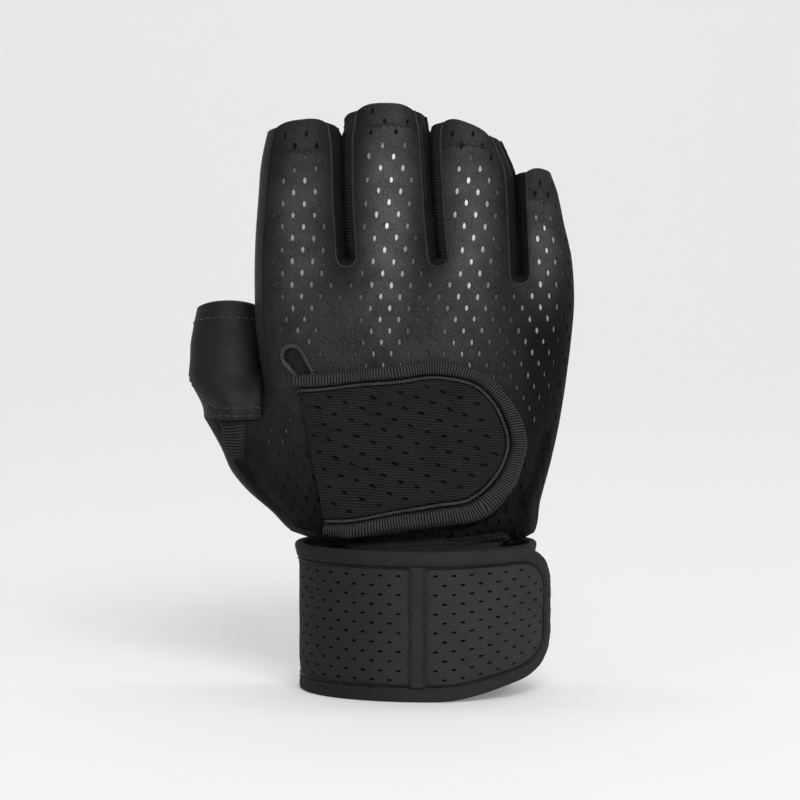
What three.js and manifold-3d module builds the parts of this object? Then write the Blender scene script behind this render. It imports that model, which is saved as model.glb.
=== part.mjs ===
import * as THREE from "three";
import Module from "manifold-3d";

const wasm = await Module();
wasm.setup();

// Sizes are in millimetres. x runs from the thumb side to the little-finger side, y from the back of
// the hand to the palm, and z from the wrist wrap's lower edge up to the fingertips.

const gloveHeight = 187; // lower edge to the middle fingertip
const palmWidth = 103; // across the knuckles
const clothWall = 1.2; // perforated stretch fabric with its backing
const leatherWall = 1.5; // palm and thumb
const seamInset = 3.2; // from the outline of the hand in to a panel's seam
const seamGap = 0.3; // between two pieces that are sewn edge to edge
const layerGap = 0.35; // between two pieces that lie on each other

// The wrist wrap is a band that goes once round the wrist and laps over its own start.
const wrapHeight = 47.7;
const wrapHalfWidth = 40.5; // outside, at the thumb side
const wrapHalfDepth = 28.5;
const wrapEdgeThickness = 2.8;
const wrapPanelThickness = 2.3;
const wrapEdgeWidth = 5.4;
const wrapEndRadius = 16;
const wrapEndAngle = -14; // where the outer end lies, from the little-finger side
const wrapTurn = 420; // degrees from the outer end to the inner end
const wrapPitch = wrapEdgeThickness + layerGap + 0.05;

// The sleeve inside the wrap stays clear of it, but for the palm side, where it is sewn to it.
const wristClearance = 3.2;
const wrapShareAtPalm = (165 - (270 + wrapEndAngle)) / 360;
const wristSide = wrapHalfWidth - wrapEdgeThickness - wristClearance;
const wristLittleSide = wrapHalfWidth - 2 * wrapEdgeThickness - wristClearance;
const wristFront = wrapHalfDepth - 2 * wrapEdgeThickness - wristClearance;
const wristBack = wrapHalfDepth + wrapPitch * wrapShareAtPalm - wrapEdgeThickness - 2.6 * layerGap;
const sleeveBottom = 37; // where the glove ends inside the wrap
const sleeveTop = wrapHeight + 0.6;

// Outlines of the hand seen from the back: up is a share of gloveHeight, out of palmWidth.
const thumbSide = [
  { up: 0.270, out: -0.412 },
  { up: 0.289, out: -0.450 },
  { up: 0.305, out: -0.478 },
  { up: 0.340, out: -0.554 },
  { up: 0.374, out: -0.608 },
  { up: 0.409, out: -0.638 },
  { up: 0.443, out: -0.668 },
  { up: 0.465, out: -0.689 },
  { up: 0.503, out: -0.718 },
];
const indexSide = [
  { up: 0.482, out: -0.526 },
  { up: 0.508, out: -0.504 },
  { up: 0.537, out: -0.508 },
  { up: 0.580, out: -0.520 },
  { up: 0.631, out: -0.530 },
  { up: 0.706, out: -0.533 },
  { up: 0.775, out: -0.530 },
  { up: 0.856, out: -0.520 },
  { up: 0.898, out: -0.515 },
  { up: 0.930, out: -0.506 },
  { up: 0.968, out: -0.491 },
];
const littleSide = [
  { up: 0.271, out: 0.343 },
  { up: 0.322, out: 0.361 },
  { up: 0.391, out: 0.396 },
  { up: 0.460, out: 0.424 },
  { up: 0.561, out: 0.451 },
  { up: 0.647, out: 0.467 },
  { up: 0.695, out: 0.467 },
  { up: 0.749, out: 0.458 },
  { up: 0.802, out: 0.436 },
  { up: 0.858, out: 0.415 },
  { up: 0.888, out: 0.396 },
];

// Slots between the fingers: out is the middle of the slot, gap is half its width.
const indexMiddleSlot = [
  { up: 0.743, out: -0.243, gap: 0.002 },
  { up: 0.837, out: -0.254, gap: 0.002 },
  { up: 0.909, out: -0.257, gap: 0.003 },
  { up: 0.941, out: -0.259, gap: 0.006 },
  { up: 0.968, out: -0.260, gap: 0.014 },
  { up: 0.995, out: -0.261, gap: 0.019 },
];
const middleRingSlot = [
  { up: 0.743, out: 0.039, gap: 0.002 },
  { up: 0.802, out: 0.028, gap: 0.002 },
  { up: 0.888, out: 0.018, gap: 0.002 },
  { up: 0.947, out: 0.014, gap: 0.004 },
  { up: 0.968, out: 0.014, gap: 0.011 },
  { up: 0.995, out: 0.013, gap: 0.019 },
];
const ringLittleSlot = [
  { up: 0.714, out: 0.293, gap: 0.002 },
  { up: 0.802, out: 0.286, gap: 0.002 },
  { up: 0.877, out: 0.280, gap: 0.003 },
  { up: 0.898, out: 0.274, gap: 0.006 },
  { up: 0.925, out: 0.262, gap: 0.014 },
  { up: 0.952, out: 0.247, gap: 0.021 },
];
const slots = [indexMiddleSlot, middleRingSlot, ringLittleSlot];

// Where each finger stall ends, at its left and right side, as shares of gloveHeight.
const fingerEnds = [
  { left: 0.963, right: 0.968 },
  { left: 0.987, right: 0.987 },
  { left: 0.968, right: 0.947 },
  { left: 0.888, right: 0.880 },
];

// Thickness of the hand at each height: back and palm are half-depths as shares of gloveHeight,
// round and roundLittle the width of the rounded side as shares of palmWidth.
const fullness = [
  { up: 0.270, back: 0.104, palm: 0.110, round: 0.290, roundLittle: 0.290 },
  { up: 0.330, back: 0.106, palm: 0.112, round: 0.270, roundLittle: 0.260 },
  { up: 0.460, back: 0.094, palm: 0.102, round: 0.215, roundLittle: 0.200 },
  { up: 0.560, back: 0.083, palm: 0.086, round: 0.175, roundLittle: 0.150 },
  { up: 0.670, back: 0.075, palm: 0.070, round: 0.136, roundLittle: 0.110 },
  { up: 0.750, back: 0.063, palm: 0.060, round: 0.104, roundLittle: 0.074 },
  { up: 1.000, back: 0.058, palm: 0.057, round: 0.101, roundLittle: 0.070 },
];

// The hand arches across: its sides lie further to the palm than the middle finger.
const archCentre = -8;
const archToLittle = 6.5;
const archToThumb = 2.6;
const archSpanLittle = 46;
const archSpanThumb = 32;

// The fingers lean to the palm on a gentle curve that starts below the knuckles.
const leanStart = 125;
const leanRadius = 254;

// The thumb stall: left and right are its sides, back is how far its middle lies to the palm,
// depth its half-depth, all as shares of palmWidth.
const thumbCut = 86.7;
const thumbStations = [
  { up: 0.000, left: -0.689, right: -0.530, back: 0.062, depth: 0.118 },
  { up: 0.090, left: -0.704, right: -0.528, back: 0.080, depth: 0.114 },
  { up: 0.160, left: -0.714, right: -0.513, back: 0.092, depth: 0.112 },
  { up: 0.270, left: -0.725, right: -0.498, back: 0.114, depth: 0.110 },
  { up: 0.520, left: -0.732, right: -0.507, back: 0.143, depth: 0.108 },
  { up: 0.760, left: -0.726, right: -0.513, back: 0.160, depth: 0.106 },
  { up: 1.000, left: -0.709, right: -0.516, back: 0.174, depth: 0.104 },
];
const thumbHeight = 34.2;
const thumbMouthSlope = 0.3;
const thumbPanelWall = leatherWall;

// The closing strap on the back of the hand: its outline from the upper left corner round the
// rounded end to the lower left corner, as shares of palmWidth (out) and gloveHeight (up).
const strapOutline = [
  { out: -0.391, up: 0.546 },
  { out: -0.250, up: 0.552 },
  { out: -0.100, up: 0.561 },
  { out: 0.037, up: 0.570 },
  { out: 0.168, up: 0.551 },
  { out: 0.250, up: 0.508 },
  { out: 0.284, up: 0.453 },
  { out: 0.278, up: 0.408 },
  { out: 0.239, up: 0.360 },
  { out: 0.152, up: 0.315 },
  { out: 0.040, up: 0.301 },
  { out: -0.120, up: 0.288 },
  { out: -0.302, up: 0.275 },
];
const strapEdgeWidth = 4.4;
const strapEdgeThickness = 2.4;
const pipingWidth = 1.3;
const strapPanelThickness = 1.5;
const strapBaseThickness = 1.6;
const strapBaseShift = { out: 1.3, up: -1.5 };
const strapRise = 11; // length over which the strap climbs onto its base

// The eyelet at the upper left corner of the strap, a teardrop.
const eyelet = { x: -42.2, z: 108.1, radius: 3.0, tipX: -37.6, tipZ: 103.9 };
const eyeletBead = 1.3;

// The knit insert below the thumb and the elastic edge that shows above the wrap.
const thumbInsert = { left: -0.622, right: -0.552, bottom: 0.405, top: 0.457 };
const insertThickness = 1.0;
const elasticEdge = { left: -0.235, right: 0.215, bottom: 0.216, top: 0.272 };
const elasticThickness = 1.2;

const seamTapeWidth = 4.6;
const seamTapeThickness = 1.0;
const seamTapeAngle = -93;

const colours = {
  cloth: 0x2e2e30,
  leather: 0x232325,
  elastic: 0x262628,
  wrap: 0x3c3c3e,
};

// A smooth curve through one column of a table.
function along(table, column, at) {
  const last = table.length - 1;
  let i = 0;
  while (i < last - 1 && at > table[i + 1].at) i += 1;
  const p1 = table[i];
  const p2 = table[i + 1];
  const p0 = table[Math.max(0, i - 1)];
  const p3 = table[Math.min(last, i + 2)];
  const width = p2.at - p1.at;
  const t = (at - p1.at) / width;
  const m1 = i > 0 ? ((p2[column] - p0[column]) / (p2.at - p0.at)) * width : p2[column] - p1[column];
  const m2 = i < last - 1 ? ((p3[column] - p1[column]) / (p3.at - p1.at)) * width : p2[column] - p1[column];
  if (t < 0) return p1[column] + m1 * t;
  if (t > 1) return p2[column] + m2 * (t - 1);
  const t2 = t * t;
  const t3 = t2 * t;
  return (
    (2 * t3 - 3 * t2 + 1) * p1[column] +
    (t3 - 2 * t2 + t) * m1 +
    (3 * t2 - 2 * t3) * p2[column] +
    (t3 - t2) * m2
  );
}

function inMillimetres(table, columns) {
  return table.map((row) => {
    const result = { at: row.up * gloveHeight };
    for (const [name, size] of Object.entries(columns)) result[name] = row[name] * size;
    return result;
  });
}

const sleeve = (side) => [
  { at: sleeveBottom - 12, out: side },
  { at: sleeveBottom, out: side },
  { at: sleeveTop - 3, out: side * 1.01 },
  { at: sleeveTop, out: side * 1.04 },
];
const thumbLine = sleeve(-wristSide).concat(inMillimetres(thumbSide, { out: palmWidth }));
const littleLine = sleeve(wristLittleSide).concat(inMillimetres(littleSide, { out: palmWidth }));
const indexLine = inMillimetres(indexSide, { out: palmWidth });
const slotLines = slots.map((table) => inMillimetres(table, { out: palmWidth, gap: palmWidth }));
const ends = fingerEnds.map((row) => ({ left: row.left * gloveHeight, right: row.right * gloveHeight }));
const body = [
  { at: sleeveBottom, back: wristFront, palm: wristBack, round: 0.29 * palmWidth, roundLittle: 0.29 * palmWidth },
  { at: sleeveTop - 2, back: wristFront, palm: wristBack, round: 0.29 * palmWidth, roundLittle: 0.29 * palmWidth },
].concat(
  inMillimetres(fullness, {
    back: gloveHeight,
    palm: gloveHeight,
    round: palmWidth,
    roundLittle: palmWidth,
  }),
);

const slotGap = (slot, z) => Math.max(0.2, along(slotLines[slot], "gap", z));
const slotX = (slot, side, z) => along(slotLines[slot], "out", z) + side * slotGap(slot, z);
const slotBottom = (slot) => slotLines[slot][0].at;
const crotch = { x: indexLine[0].out, z: indexLine[0].at };

// Points of the outlines, for distances.
function polyline(from, to, count, x) {
  const points = [];
  for (let i = 0; i <= count; i += 1) {
    const z = from + ((to - from) * i) / count;
    points.push([x(z), z]);
  }
  return points;
}

const above = gloveHeight + 12;
const outlines = [
  polyline(sleeveBottom - 10, thumbCut + 8, 40, (z) => along(thumbLine, "out", z)),
  polyline(crotch.z, above, 40, (z) => along(indexLine, "out", z)),
  polyline(sleeveBottom - 10, above, 60, (z) => along(littleLine, "out", z)),
  ...slotLines.map((line, slot) =>
    polyline(above, slotBottom(slot), 30, (z) => slotX(slot, -1, z)).concat(
      polyline(slotBottom(slot), above, 30, (z) => slotX(slot, 1, z)),
    ),
  ),
];

function distanceTo(points, x, z) {
  let best = Infinity;
  for (let i = 0; i < points.length - 1; i += 1) {
    const [ax, az] = points[i];
    const dx = points[i + 1][0] - ax;
    const dz = points[i + 1][1] - az;
    const length = dx * dx + dz * dz;
    const t = length > 0 ? Math.min(1, Math.max(0, ((x - ax) * dx + (z - az) * dz) / length)) : 0;
    best = Math.min(best, Math.hypot(x - ax - dx * t, z - az - dz * t));
  }
  return best;
}

// Distance in from the outlines, rounded off where two of them are equally near.
function depthIn(x, z) {
  let sum = 0;
  for (const points of outlines) sum += (distanceTo(points, x, z) + 1e-6) ** -4;
  return sum ** -0.25;
}

const mix = (from, to, share) => from * (1 - share) + to * share;

const smooth = (from, to, value) => {
  const t = Math.min(1, Math.max(0, (value - from) / (to - from)));
  return t * t * (3 - 2 * t);
};

function roundness(x, z) {
  const share = smooth(18, 34, x);
  return mix(along(body, "round", z), along(body, "roundLittle", z), share);
}

// The surface halfway between back and palm.
function middleY(x, z) {
  const amount = smooth(sleeveTop - 2, sleeveTop + 36, z);
  const across = x > archCentre
    ? archToLittle * ((x - archCentre) / archSpanLittle) ** 2
    : archToThumb * ((archCentre - x) / archSpanThumb) ** 2;
  return across * amount;
}

// The hand's outer surface, before the fingers lean: side is -1 for the back and 1 for the palm.
function skinY(x, z, side) {
  const inward = Math.min(1, depthIn(x, z) / roundness(x, z));
  const share = Math.sqrt(1 - (1 - inward) ** 2);
  const slim = 1 - 0.14 * smooth(18, 34, x) * smooth(115, 140, z);
  return middleY(x, z) + side * share * slim * along(body, side < 0 ? "back" : "palm", z);
}

function lean([x, y, z]) {
  if (z <= leanStart) return [x, y, z];
  const angle = (z - leanStart) / leanRadius;
  const reach = leanRadius - y;
  return [x, leanRadius - reach * Math.cos(angle), leanStart + reach * Math.sin(angle)];
}

// A point of the skin; where the surface isn't upright there it also carries its normal.
function skin(x, z, side) {
  const point = lean([x, skinY(x, z, side), z]);
  if (depthIn(x, z) < 1.2) return point;
  const step = 0.3;
  const at = (dx, dz) => new THREE.Vector3(...lean([x + dx, skinY(x + dx, z + dz, side), z + dz]));
  const acrossX = at(step, 0).sub(at(-step, 0));
  const acrossZ = at(0, step).sub(at(0, -step));
  point.normal = acrossX.cross(acrossZ).normalize().multiplyScalar(-side);
  return point;
}

// A point above the back of the hand.
function over(x, z, height) {
  const step = 0.4;
  const slopeX = (skinY(x + step, z, -1) - skinY(x - step, z, -1)) / (2 * step);
  const slopeZ = (skinY(x, z + step, -1) - skinY(x, z - step, -1)) / (2 * step);
  const size = Math.hypot(slopeX, 1, slopeZ);
  const y = skinY(x, z, -1);
  return lean([x + (slopeX / size) * height, y - height / size, z + (slopeZ / size) * height]);
}

// A surface made of four-sided and three-sided faces that share their points.
class Surface {
  constructor() {
    this.points = [];
    this.faces = [];
    this.known = new Map();
    this.levels = []; // heights where the solid is cut level
  }

  point(p) {
    const key = p.map((value) => Math.round(value * 500)).join(",");
    if (!this.known.has(key)) {
      this.known.set(key, this.points.length);
      this.points.push(p);
    }
    return this.known.get(key);
  }

  face(corners) {
    const ids = corners.map((p) => this.point(p)).filter((id, i, all) => id !== all[(i + 1) % all.length]);
    if (ids.length < 3) return;
    for (let i = 1; i < ids.length - 1; i += 1) {
      if (new Set([ids[0], ids[i], ids[i + 1]]).size === 3) this.faces.push([ids[0], ids[i], ids[i + 1]]);
    }
  }

  // rows of points; flip turns the faces round.
  grid(rows, flip = false, closed = false) {
    for (let i = 0; i < rows.length - 1; i += 1) {
      const count = rows[i].length;
      for (let j = 0; j < (closed ? count : count - 1); j += 1) {
        const k = (j + 1) % count;
        const corners = [rows[i][j], rows[i][k], rows[i + 1][k], rows[i + 1][j]];
        this.face(flip ? corners.reverse() : corners);
      }
    }
    return this;
  }

  normals() {
    const sums = this.points.map(() => new THREE.Vector3());
    const [a, b, c] = [new THREE.Vector3(), new THREE.Vector3(), new THREE.Vector3()];
    for (const face of this.faces) {
      a.fromArray(this.points[face[0]]);
      b.fromArray(this.points[face[1]]).sub(a);
      c.fromArray(this.points[face[2]]).sub(a);
      b.cross(c);
      for (const id of face) sums[id].add(b);
    }
    return sums.map((sum, i) => {
      const p = this.points[i];
      if (p.normal) sum.copy(p.normal);
      if (this.levels.some((level) => Math.abs(p[2] - level) < 0.01)) sum.z = 0;
      return sum.normalize();
    });
  }

  // The solid between two offsets of the surface along its normals.
  shell(inner, outer) {
    const normals = this.normals();
    const count = this.points.length;
    const positions = [];
    for (const offset of [outer, inner]) {
      this.points.forEach((p, i) => positions.push(...p.map((v, k) => v + normals[i].getComponent(k) * offset)));
    }
    const index = [];
    const edges = new Map();
    for (const face of this.faces) {
      index.push(...face);
      index.push(face[0] + count, face[2] + count, face[1] + count);
      face.forEach((id, i) => {
        const next = face[(i + 1) % 3];
        const back = `${next},${id}`;
        if (edges.has(back)) edges.delete(back);
        else edges.set(`${id},${next}`, [id, next]);
      });
    }
    for (const [from, to] of edges.values()) {
      index.push(to, from, from + count, to, from + count, to + count);
    }
    return geometryOf(positions, index);
  }

  // The surface itself, already closed.
  solid() {
    return geometryOf(this.points.flat(), this.faces.flat());
  }
}

function geometryOf(positions, index) {
  const geometry = new THREE.BufferGeometry();
  geometry.setAttribute("position", new THREE.Float32BufferAttribute(positions, 3));
  geometry.setIndex(index);
  return geometry;
}

function toManifold(geometry) {
  return new wasm.Manifold(
    new wasm.Mesh({
      numProp: 3,
      vertProperties: new Float32Array(geometry.attributes.position.array),
      triVerts: new Uint32Array(geometry.index.array),
    }),
  );
}

function fromManifold(solid) {
  const mesh = solid.getMesh();
  return geometryOf(Array.from(mesh.vertProperties), Array.from(mesh.triVerts));
}

// A bar with the given cross-sections, each a closed loop of points, with flat ends.
function bar(loops, flip = false, closed = false) {
  const surface = new Surface();
  surface.grid(closed ? loops.concat([loops[0]]) : loops, flip, true);
  if (!closed) {
    surface.face(flip ? loops[0] : [...loops[0]].reverse());
    const last = loops[loops.length - 1];
    surface.face(flip ? [...last].reverse() : last);
  }
  return surface.solid();
}

// Heights of the rows of the palm, at its thumb side and its little-finger side.
const lowerRows = [sleeveBottom, 43, sleeveTop - 1, 51.5, 56.5, 63, 71, 79, thumbCut];
const upperRows = [
  { left: 88.2, right: 92 },
  { left: 91.5, right: 98 },
  { left: 98, right: 104 },
  { left: 107, right: 111.5 },
  { left: 116, right: 118.5 },
  { left: 126, right: 126 },
];
const palmTop = 126;
const columns = [0, 0.16, 0.38, 0.62, 0.84, 1];
const slotTurn = 3; // steps from the bottom of a slot to its side
const fingerRows = 12;
const wrapRound = [0.62, 0.3, 0, -0.3, -0.62, -1]; // steps round an outer side, in shares of its angle

// How far in from the outline a share of the seam's angle lies.
function insetAt(share, x, z, inset) {
  const radius = roundness(x, z);
  const angle = Math.acos(1 - Math.min(1, inset / radius));
  return radius * (1 - Math.cos(angle * share));
}

const slant = (line, z) => Math.hypot(1, (along(line, "out", z + 1) - along(line, "out", z - 1)) / 2);
const thumbEdge = (z, inset) => along(thumbLine, "out", z) + inset * slant(thumbLine, z);
const littleEdge = (z, inset) => along(littleLine, "out", z) - inset * slant(littleLine, z);

// The lines that split the palm below the slots, from the wrist to the slots.
function divider(slot, z) {
  const top = along(slotLines[slot], "out", slotBottom(slot));
  const share = smooth(sleeveBottom - 20, slotBottom(slot) + 20, z);
  const wrist = [-13, 2, 17][slot];
  return wrist + ((top - wrist) * share) / smooth(sleeveBottom - 20, slotBottom(slot) + 20, slotBottom(slot));
}

function thumbDivider(z) {
  const share = smooth(sleeveBottom, crotch.z, z);
  return -wristSide + 9 + (crotch.x + wristSide - 9) * share;
}

// A point beside a slot: step 1 is its bottom, slotTurn + 1 the start of its side.
function besideSlot(slot, side, step, top, inset) {
  const bottom = slotBottom(slot);
  const turn = Math.min(slotTurn, step - 1) / slotTurn;
  const angle = (turn * Math.PI) / 2;
  const centre = along(slotLines[slot], "out", bottom);
  const reach = slotGap(slot, bottom) + inset;
  if (step <= slotTurn + 1) return [centre + side * reach * Math.sin(angle), bottom - reach * Math.cos(angle)];
  const z = bottom + ((top - bottom) * (step - slotTurn - 1)) / (fingerRows - slotTurn - 1);
  return [slotX(slot, side, z) + side * inset, z];
}

function besideOutline(edge, step, top, inset) {
  const start = palmTop + 9;
  const z = step <= slotTurn + 1
    ? palmTop + ((start - palmTop) * step) / (slotTurn + 1)
    : start + ((top - start) * (step - slotTurn - 1)) / (fingerRows - slotTurn - 1);
  return [edge(z, inset), z];
}

const indexEdge = (z, inset) => along(indexLine, "out", z) + inset;

function fingerLeft(finger, step, inset) {
  const top = ends[finger].left;
  if (step === 0) return [finger === 0 ? indexEdge(palmTop, inset) : divider(finger - 1, palmTop), palmTop];
  return finger === 0
    ? besideOutline(indexEdge, step, top, inset)
    : besideSlot(finger - 1, 1, step, top, inset);
}

function fingerRight(finger, step, inset) {
  const top = ends[finger].right;
  if (step === 0) return [finger === 3 ? littleEdge(palmTop, inset) : divider(finger, palmTop), palmTop];
  return finger === 3
    ? besideOutline(littleEdge, step, top, inset)
    : besideSlot(finger, -1, step, top, inset);
}

// The index side of the palm between the thumb's root and the fingers.
function indexRoot(row, inset) {
  if (row < 2) {
    const angle = (Math.PI / 2) * (1 - (row + 1) / 2);
    return [crotch.x + inset * Math.cos(angle), crotch.z - inset * Math.sin(angle)];
  }
  const z = upperRows[row].left;
  return [indexEdge(z, inset), z];
}

// One side of the hand: the back with its little-finger side, or the palm with its thumb side.
function handPanel(side) {
  const surface = new Surface();
  surface.levels = [sleeveBottom, thumbCut];
  const inset = seamInset + seamGap / 2;
  const wrapInset = seamInset - seamGap / 2;
  const place = ([x, z]) => skin(x, z, side);
  const add = (rows) => surface.grid(rows.map((row) => row.map(place)), side > 0);
  const rows = [];

  // Palm rows that run from the thumb's side, then those that start at the index finger.
  for (const z of lowerRows) {
    const edges = [
      thumbDivider(z),
      divider(0, z),
      divider(1, z),
      divider(2, z),
      littleEdge(z, inset),
    ];
    const row = [];
    const left = thumbEdge(z, inset);
    for (const share of [0, 0.3, 0.65]) row.push([left + (edges[0] - left) * share, z]);
    for (let k = 0; k < 4; k += 1) {
      for (const share of columns.slice(k > 0 ? 1 : 0)) row.push([mix(edges[k], edges[k + 1], share), z]);
    }
    rows.push(row);
  }
  add(rows);

  const upper = [rows[rows.length - 1].slice(3)];
  upperRows.forEach((heights, i) => {
    const [leftX, leftZ] = indexRoot(i, inset);
    const rightX = littleEdge(heights.right, inset);
    const edges = [leftX, 0, 0, 0, rightX];
    for (let k = 1; k < 4; k += 1) {
      const guess = divider(k - 1, (leftZ + heights.right) / 2);
      const z = leftZ + ((heights.right - leftZ) * (guess - leftX)) / (rightX - leftX);
      edges[k] = divider(k - 1, z);
    }
    const row = [];
    for (let k = 0; k < 4; k += 1) {
      for (const share of columns.slice(k > 0 ? 1 : 0)) {
        const x = mix(edges[k], edges[k + 1], share);
        row.push([x, leftZ + ((heights.right - leftZ) * (x - leftX)) / (rightX - leftX)]);
      }
    }
    upper.push(row);
  });
  upper[1][0] = indexRoot(0, inset);
  add(upper);

  for (let finger = 0; finger < 4; finger += 1) {
    const stall = [upper[upper.length - 1].slice(finger * 5, finger * 5 + 6)];
    for (let step = 1; step <= fingerRows; step += 1) {
      const [leftX, leftZ] = fingerLeft(finger, step, inset);
      const [rightX, rightZ] = fingerRight(finger, step, inset);
      stall.push(columns.map((share) => [mix(leftX, rightX, share), mix(leftZ, rightZ, share)]));
    }
    add(stall);
  }

  // The panel's own outer side goes round to the other face.
  const sideRows = [];
  const addSide = (z, edge, first) => {
    const line = [place(first)];
    const outline = edge(z, 0);
    for (const share of wrapRound) {
      const out = share === -1 ? wrapInset : insetAt(Math.abs(share), outline, z, inset);
      line.push(skin(edge(z, out), z, share > 0 ? side : -side));
    }
    sideRows.push(line);
  };
  if (side < 0) {
    const heights = [...lowerRows, ...upperRows.map((row) => row.right)];
    heights.forEach((z) => addSide(z, littleEdge, [littleEdge(z, inset), z]));
    for (let step = 1; step <= fingerRows; step += 1) {
      const first = fingerRight(3, step, inset);
      addSide(first[1], littleEdge, first);
    }
  } else {
    lowerRows.forEach((z) => addSide(z, thumbEdge, [thumbEdge(z, inset), z]));
  }
  return surface.grid(sideRows);
}

// A side strip that follows an outline: stations give the outline point and the way in.
function sideStrip(stations, flip) {
  const surface = new Surface();
  const inset = seamInset - seamGap / 2;
  const shares = [-1, -0.6, -0.2, 0.2, 0.6, 1];
  const rows = stations.map(({ x, z, inX, inZ, slack = 0 }) => {
    return shares.map((share) => {
      const distance = insetAt(Math.abs(share), x, z, inset - slack);
      return skin(x + inX * distance, z + inZ * distance, share < 0 ? -1 : 1);
    });
  });
  return surface.grid(rows, flip);
}

function slotStations(slot) {
  const stations = [];
  const add = (side, step, top) => {
    const [x, z] = besideSlot(slot, side, step, top, 0);
    const [nearX, nearZ] = besideSlot(slot, side, step, top, 1);
    stations.push({ x, z, inX: nearX - x, inZ: nearZ - z });
  };
  for (let step = fingerRows; step >= 1; step -= 1) add(-1, step, ends[slot].right);
  for (let step = 2; step <= fingerRows; step += 1) add(1, step, ends[slot + 1].left);
  return stations;
}

function indexStations() {
  const stations = [];
  for (let step = fingerRows; step >= 1; step -= 1) {
    const [x, z] = besideOutline(indexEdge, step, ends[0].left, 0);
    stations.push({ x, z, inX: 1, inZ: 0 });
  }
  for (let row = upperRows.length - 1; row >= 0; row -= 1) {
    const [x, z] = indexRoot(row, 0);
    const [nearX, nearZ] = indexRoot(row, 1);
    stations.push({ x, z, inX: nearX - x, inZ: nearZ - z, slack: row < 2 ? seamGap : 0 });
  }
  stations.push({ x: crotch.x, z: crotch.z, inX: 0, inZ: -1, slack: seamGap });
  return stations;
}

// The thumb stall: a tube whose root matches the hand's cut and whose mouth is an oval.
function thumbStall() {
  const rootZ = thumbCut + seamGap;
  const rootRight = crotch.x - 0.35;
  const rootLeft = along(thumbLine, "out", rootZ);
  const table = thumbStations.map((row) => ({
    at: row.up,
    left: row.left * palmWidth,
    right: row.right * palmWidth,
    back: row.back * palmWidth,
    depth: row.depth * palmWidth,
  }));
  const arc = [0, 0.1, 0.24, 0.42, 0.6, 0.8, 1];
  const corner = 40;
  const heights = [0, 0.07, 0.16, 0.3, 0.46, 0.64, 0.82, 1];
  const rings = heights.map((height) => {
    const left = along(table, "left", height);
    const right = along(table, "right", height);
    const back = along(table, "back", height);
    const depth = along(table, "depth", height);
    const blend = smooth(0, 0.5, height);
    const oval = (degrees) => {
      const angle = (degrees * Math.PI) / 180;
      const x = (left + right) / 2 + ((right - left) / 2) * Math.cos(angle);
      return [x, back + depth * Math.sin(angle)];
    };
    const between = (root, round) => {
      const x = mix(root[0], round[0], blend);
      const y = mix(root[1], round[1], blend);
      const top = rootZ + thumbHeight - (y - back) * thumbMouthSlope;
      return [x, y, rootZ + (top - rootZ) * height];
    };
    const rootAt = (share, side) => {
      const x = rootLeft + (rootRight - rootLeft) * share ** 1.5;
      return [x, share === 0 ? middleY(x, rootZ) : skinY(x, rootZ, side)];
    };
    const ring = arc.map((share) => between(rootAt(share, -1), oval(-180 + (180 - corner) * share)));
    const nearY = skinY(rootRight, rootZ, -1);
    const farY = skinY(rootRight, rootZ, 1);
    for (const share of [1 / 3, 2 / 3]) {
      ring.push(between([rootRight, mix(nearY, farY, share)], oval(-corner + 2 * corner * share)));
    }
    for (const share of [...arc].reverse().slice(0, -1)) {
      ring.push(between(rootAt(share, 1), oval(180 - (180 - corner) * share)));
    }
    return ring;
  });
  const surface = new Surface();
  surface.levels = [rootZ];
  return surface.grid(rings, false, true);
}

// The wrap's spiral: angle in degrees from its outer end, depth in from its outer face.
function wrapPoint(turn, z, depth) {
  const angle = ((wrapEndAngle - turn) * Math.PI) / 180;
  const offset = (wrapPitch * (165 - turn)) / 360 - depth;
  const nx = Math.cos(angle) / wrapHalfWidth;
  const ny = Math.sin(angle) / wrapHalfDepth;
  const size = Math.hypot(nx, ny);
  const point = [
    wrapHalfWidth * Math.cos(angle) + (nx / size) * offset,
    wrapHalfDepth * Math.sin(angle) + (ny / size) * offset,
    z,
  ];
  point.normal = new THREE.Vector3(nx, ny, 0).normalize();
  return point;
}

// Lengths along the wrap, to go between millimetres and degrees.
const wrapLengths = [0];
for (let turn = 1; turn <= wrapTurn; turn += 1) {
  const a = wrapPoint(turn - 1, 0, wrapEdgeThickness / 2);
  const b = wrapPoint(turn, 0, wrapEdgeThickness / 2);
  wrapLengths.push(wrapLengths[turn - 1] + Math.hypot(a[0] - b[0], a[1] - b[1]));
}
const wrapLength = wrapLengths[wrapTurn];

function turnAt(length) {
  let turn = 0;
  while (turn < wrapTurn - 1 && wrapLengths[turn + 1] < length) turn += 1;
  return turn + (length - wrapLengths[turn]) / (wrapLengths[turn + 1] - wrapLengths[turn]);
}

const wrapAt = (length, z, depth) => wrapPoint(turnAt(length), z, depth);

function wrapPanel() {
  const low = wrapEdgeWidth + seamGap;
  const high = wrapHeight - low;
  const radius = wrapEndRadius - low;
  const middle = (low + high) / 2;
  const straight = (high - low) / 2 - radius;
  const heights = [-1, -0.93, -0.78, -0.55, 0, 0.55, 0.78, 0.93, 1];
  const count = 34;
  const rows = heights.map((share) => {
    const z = middle + (share * (high - low)) / 2;
    const beyond = Math.max(0, Math.abs(z - middle) - straight);
    const start = low + radius - Math.sqrt(Math.max(0, radius * radius - beyond * beyond));
    const row = [];
    for (let i = 0; i <= count; i += 1) row.push([start + ((wrapLength - start) * i) / count, z]);
    return row;
  });
  const depth = (wrapEdgeThickness - wrapPanelThickness) / 2;
  const surface = new Surface().grid(rows.map((row) => row.map(([s, z]) => wrapAt(s, z, depth))), true);
  return surface.shell(-wrapPanelThickness, 0);
}

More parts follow.
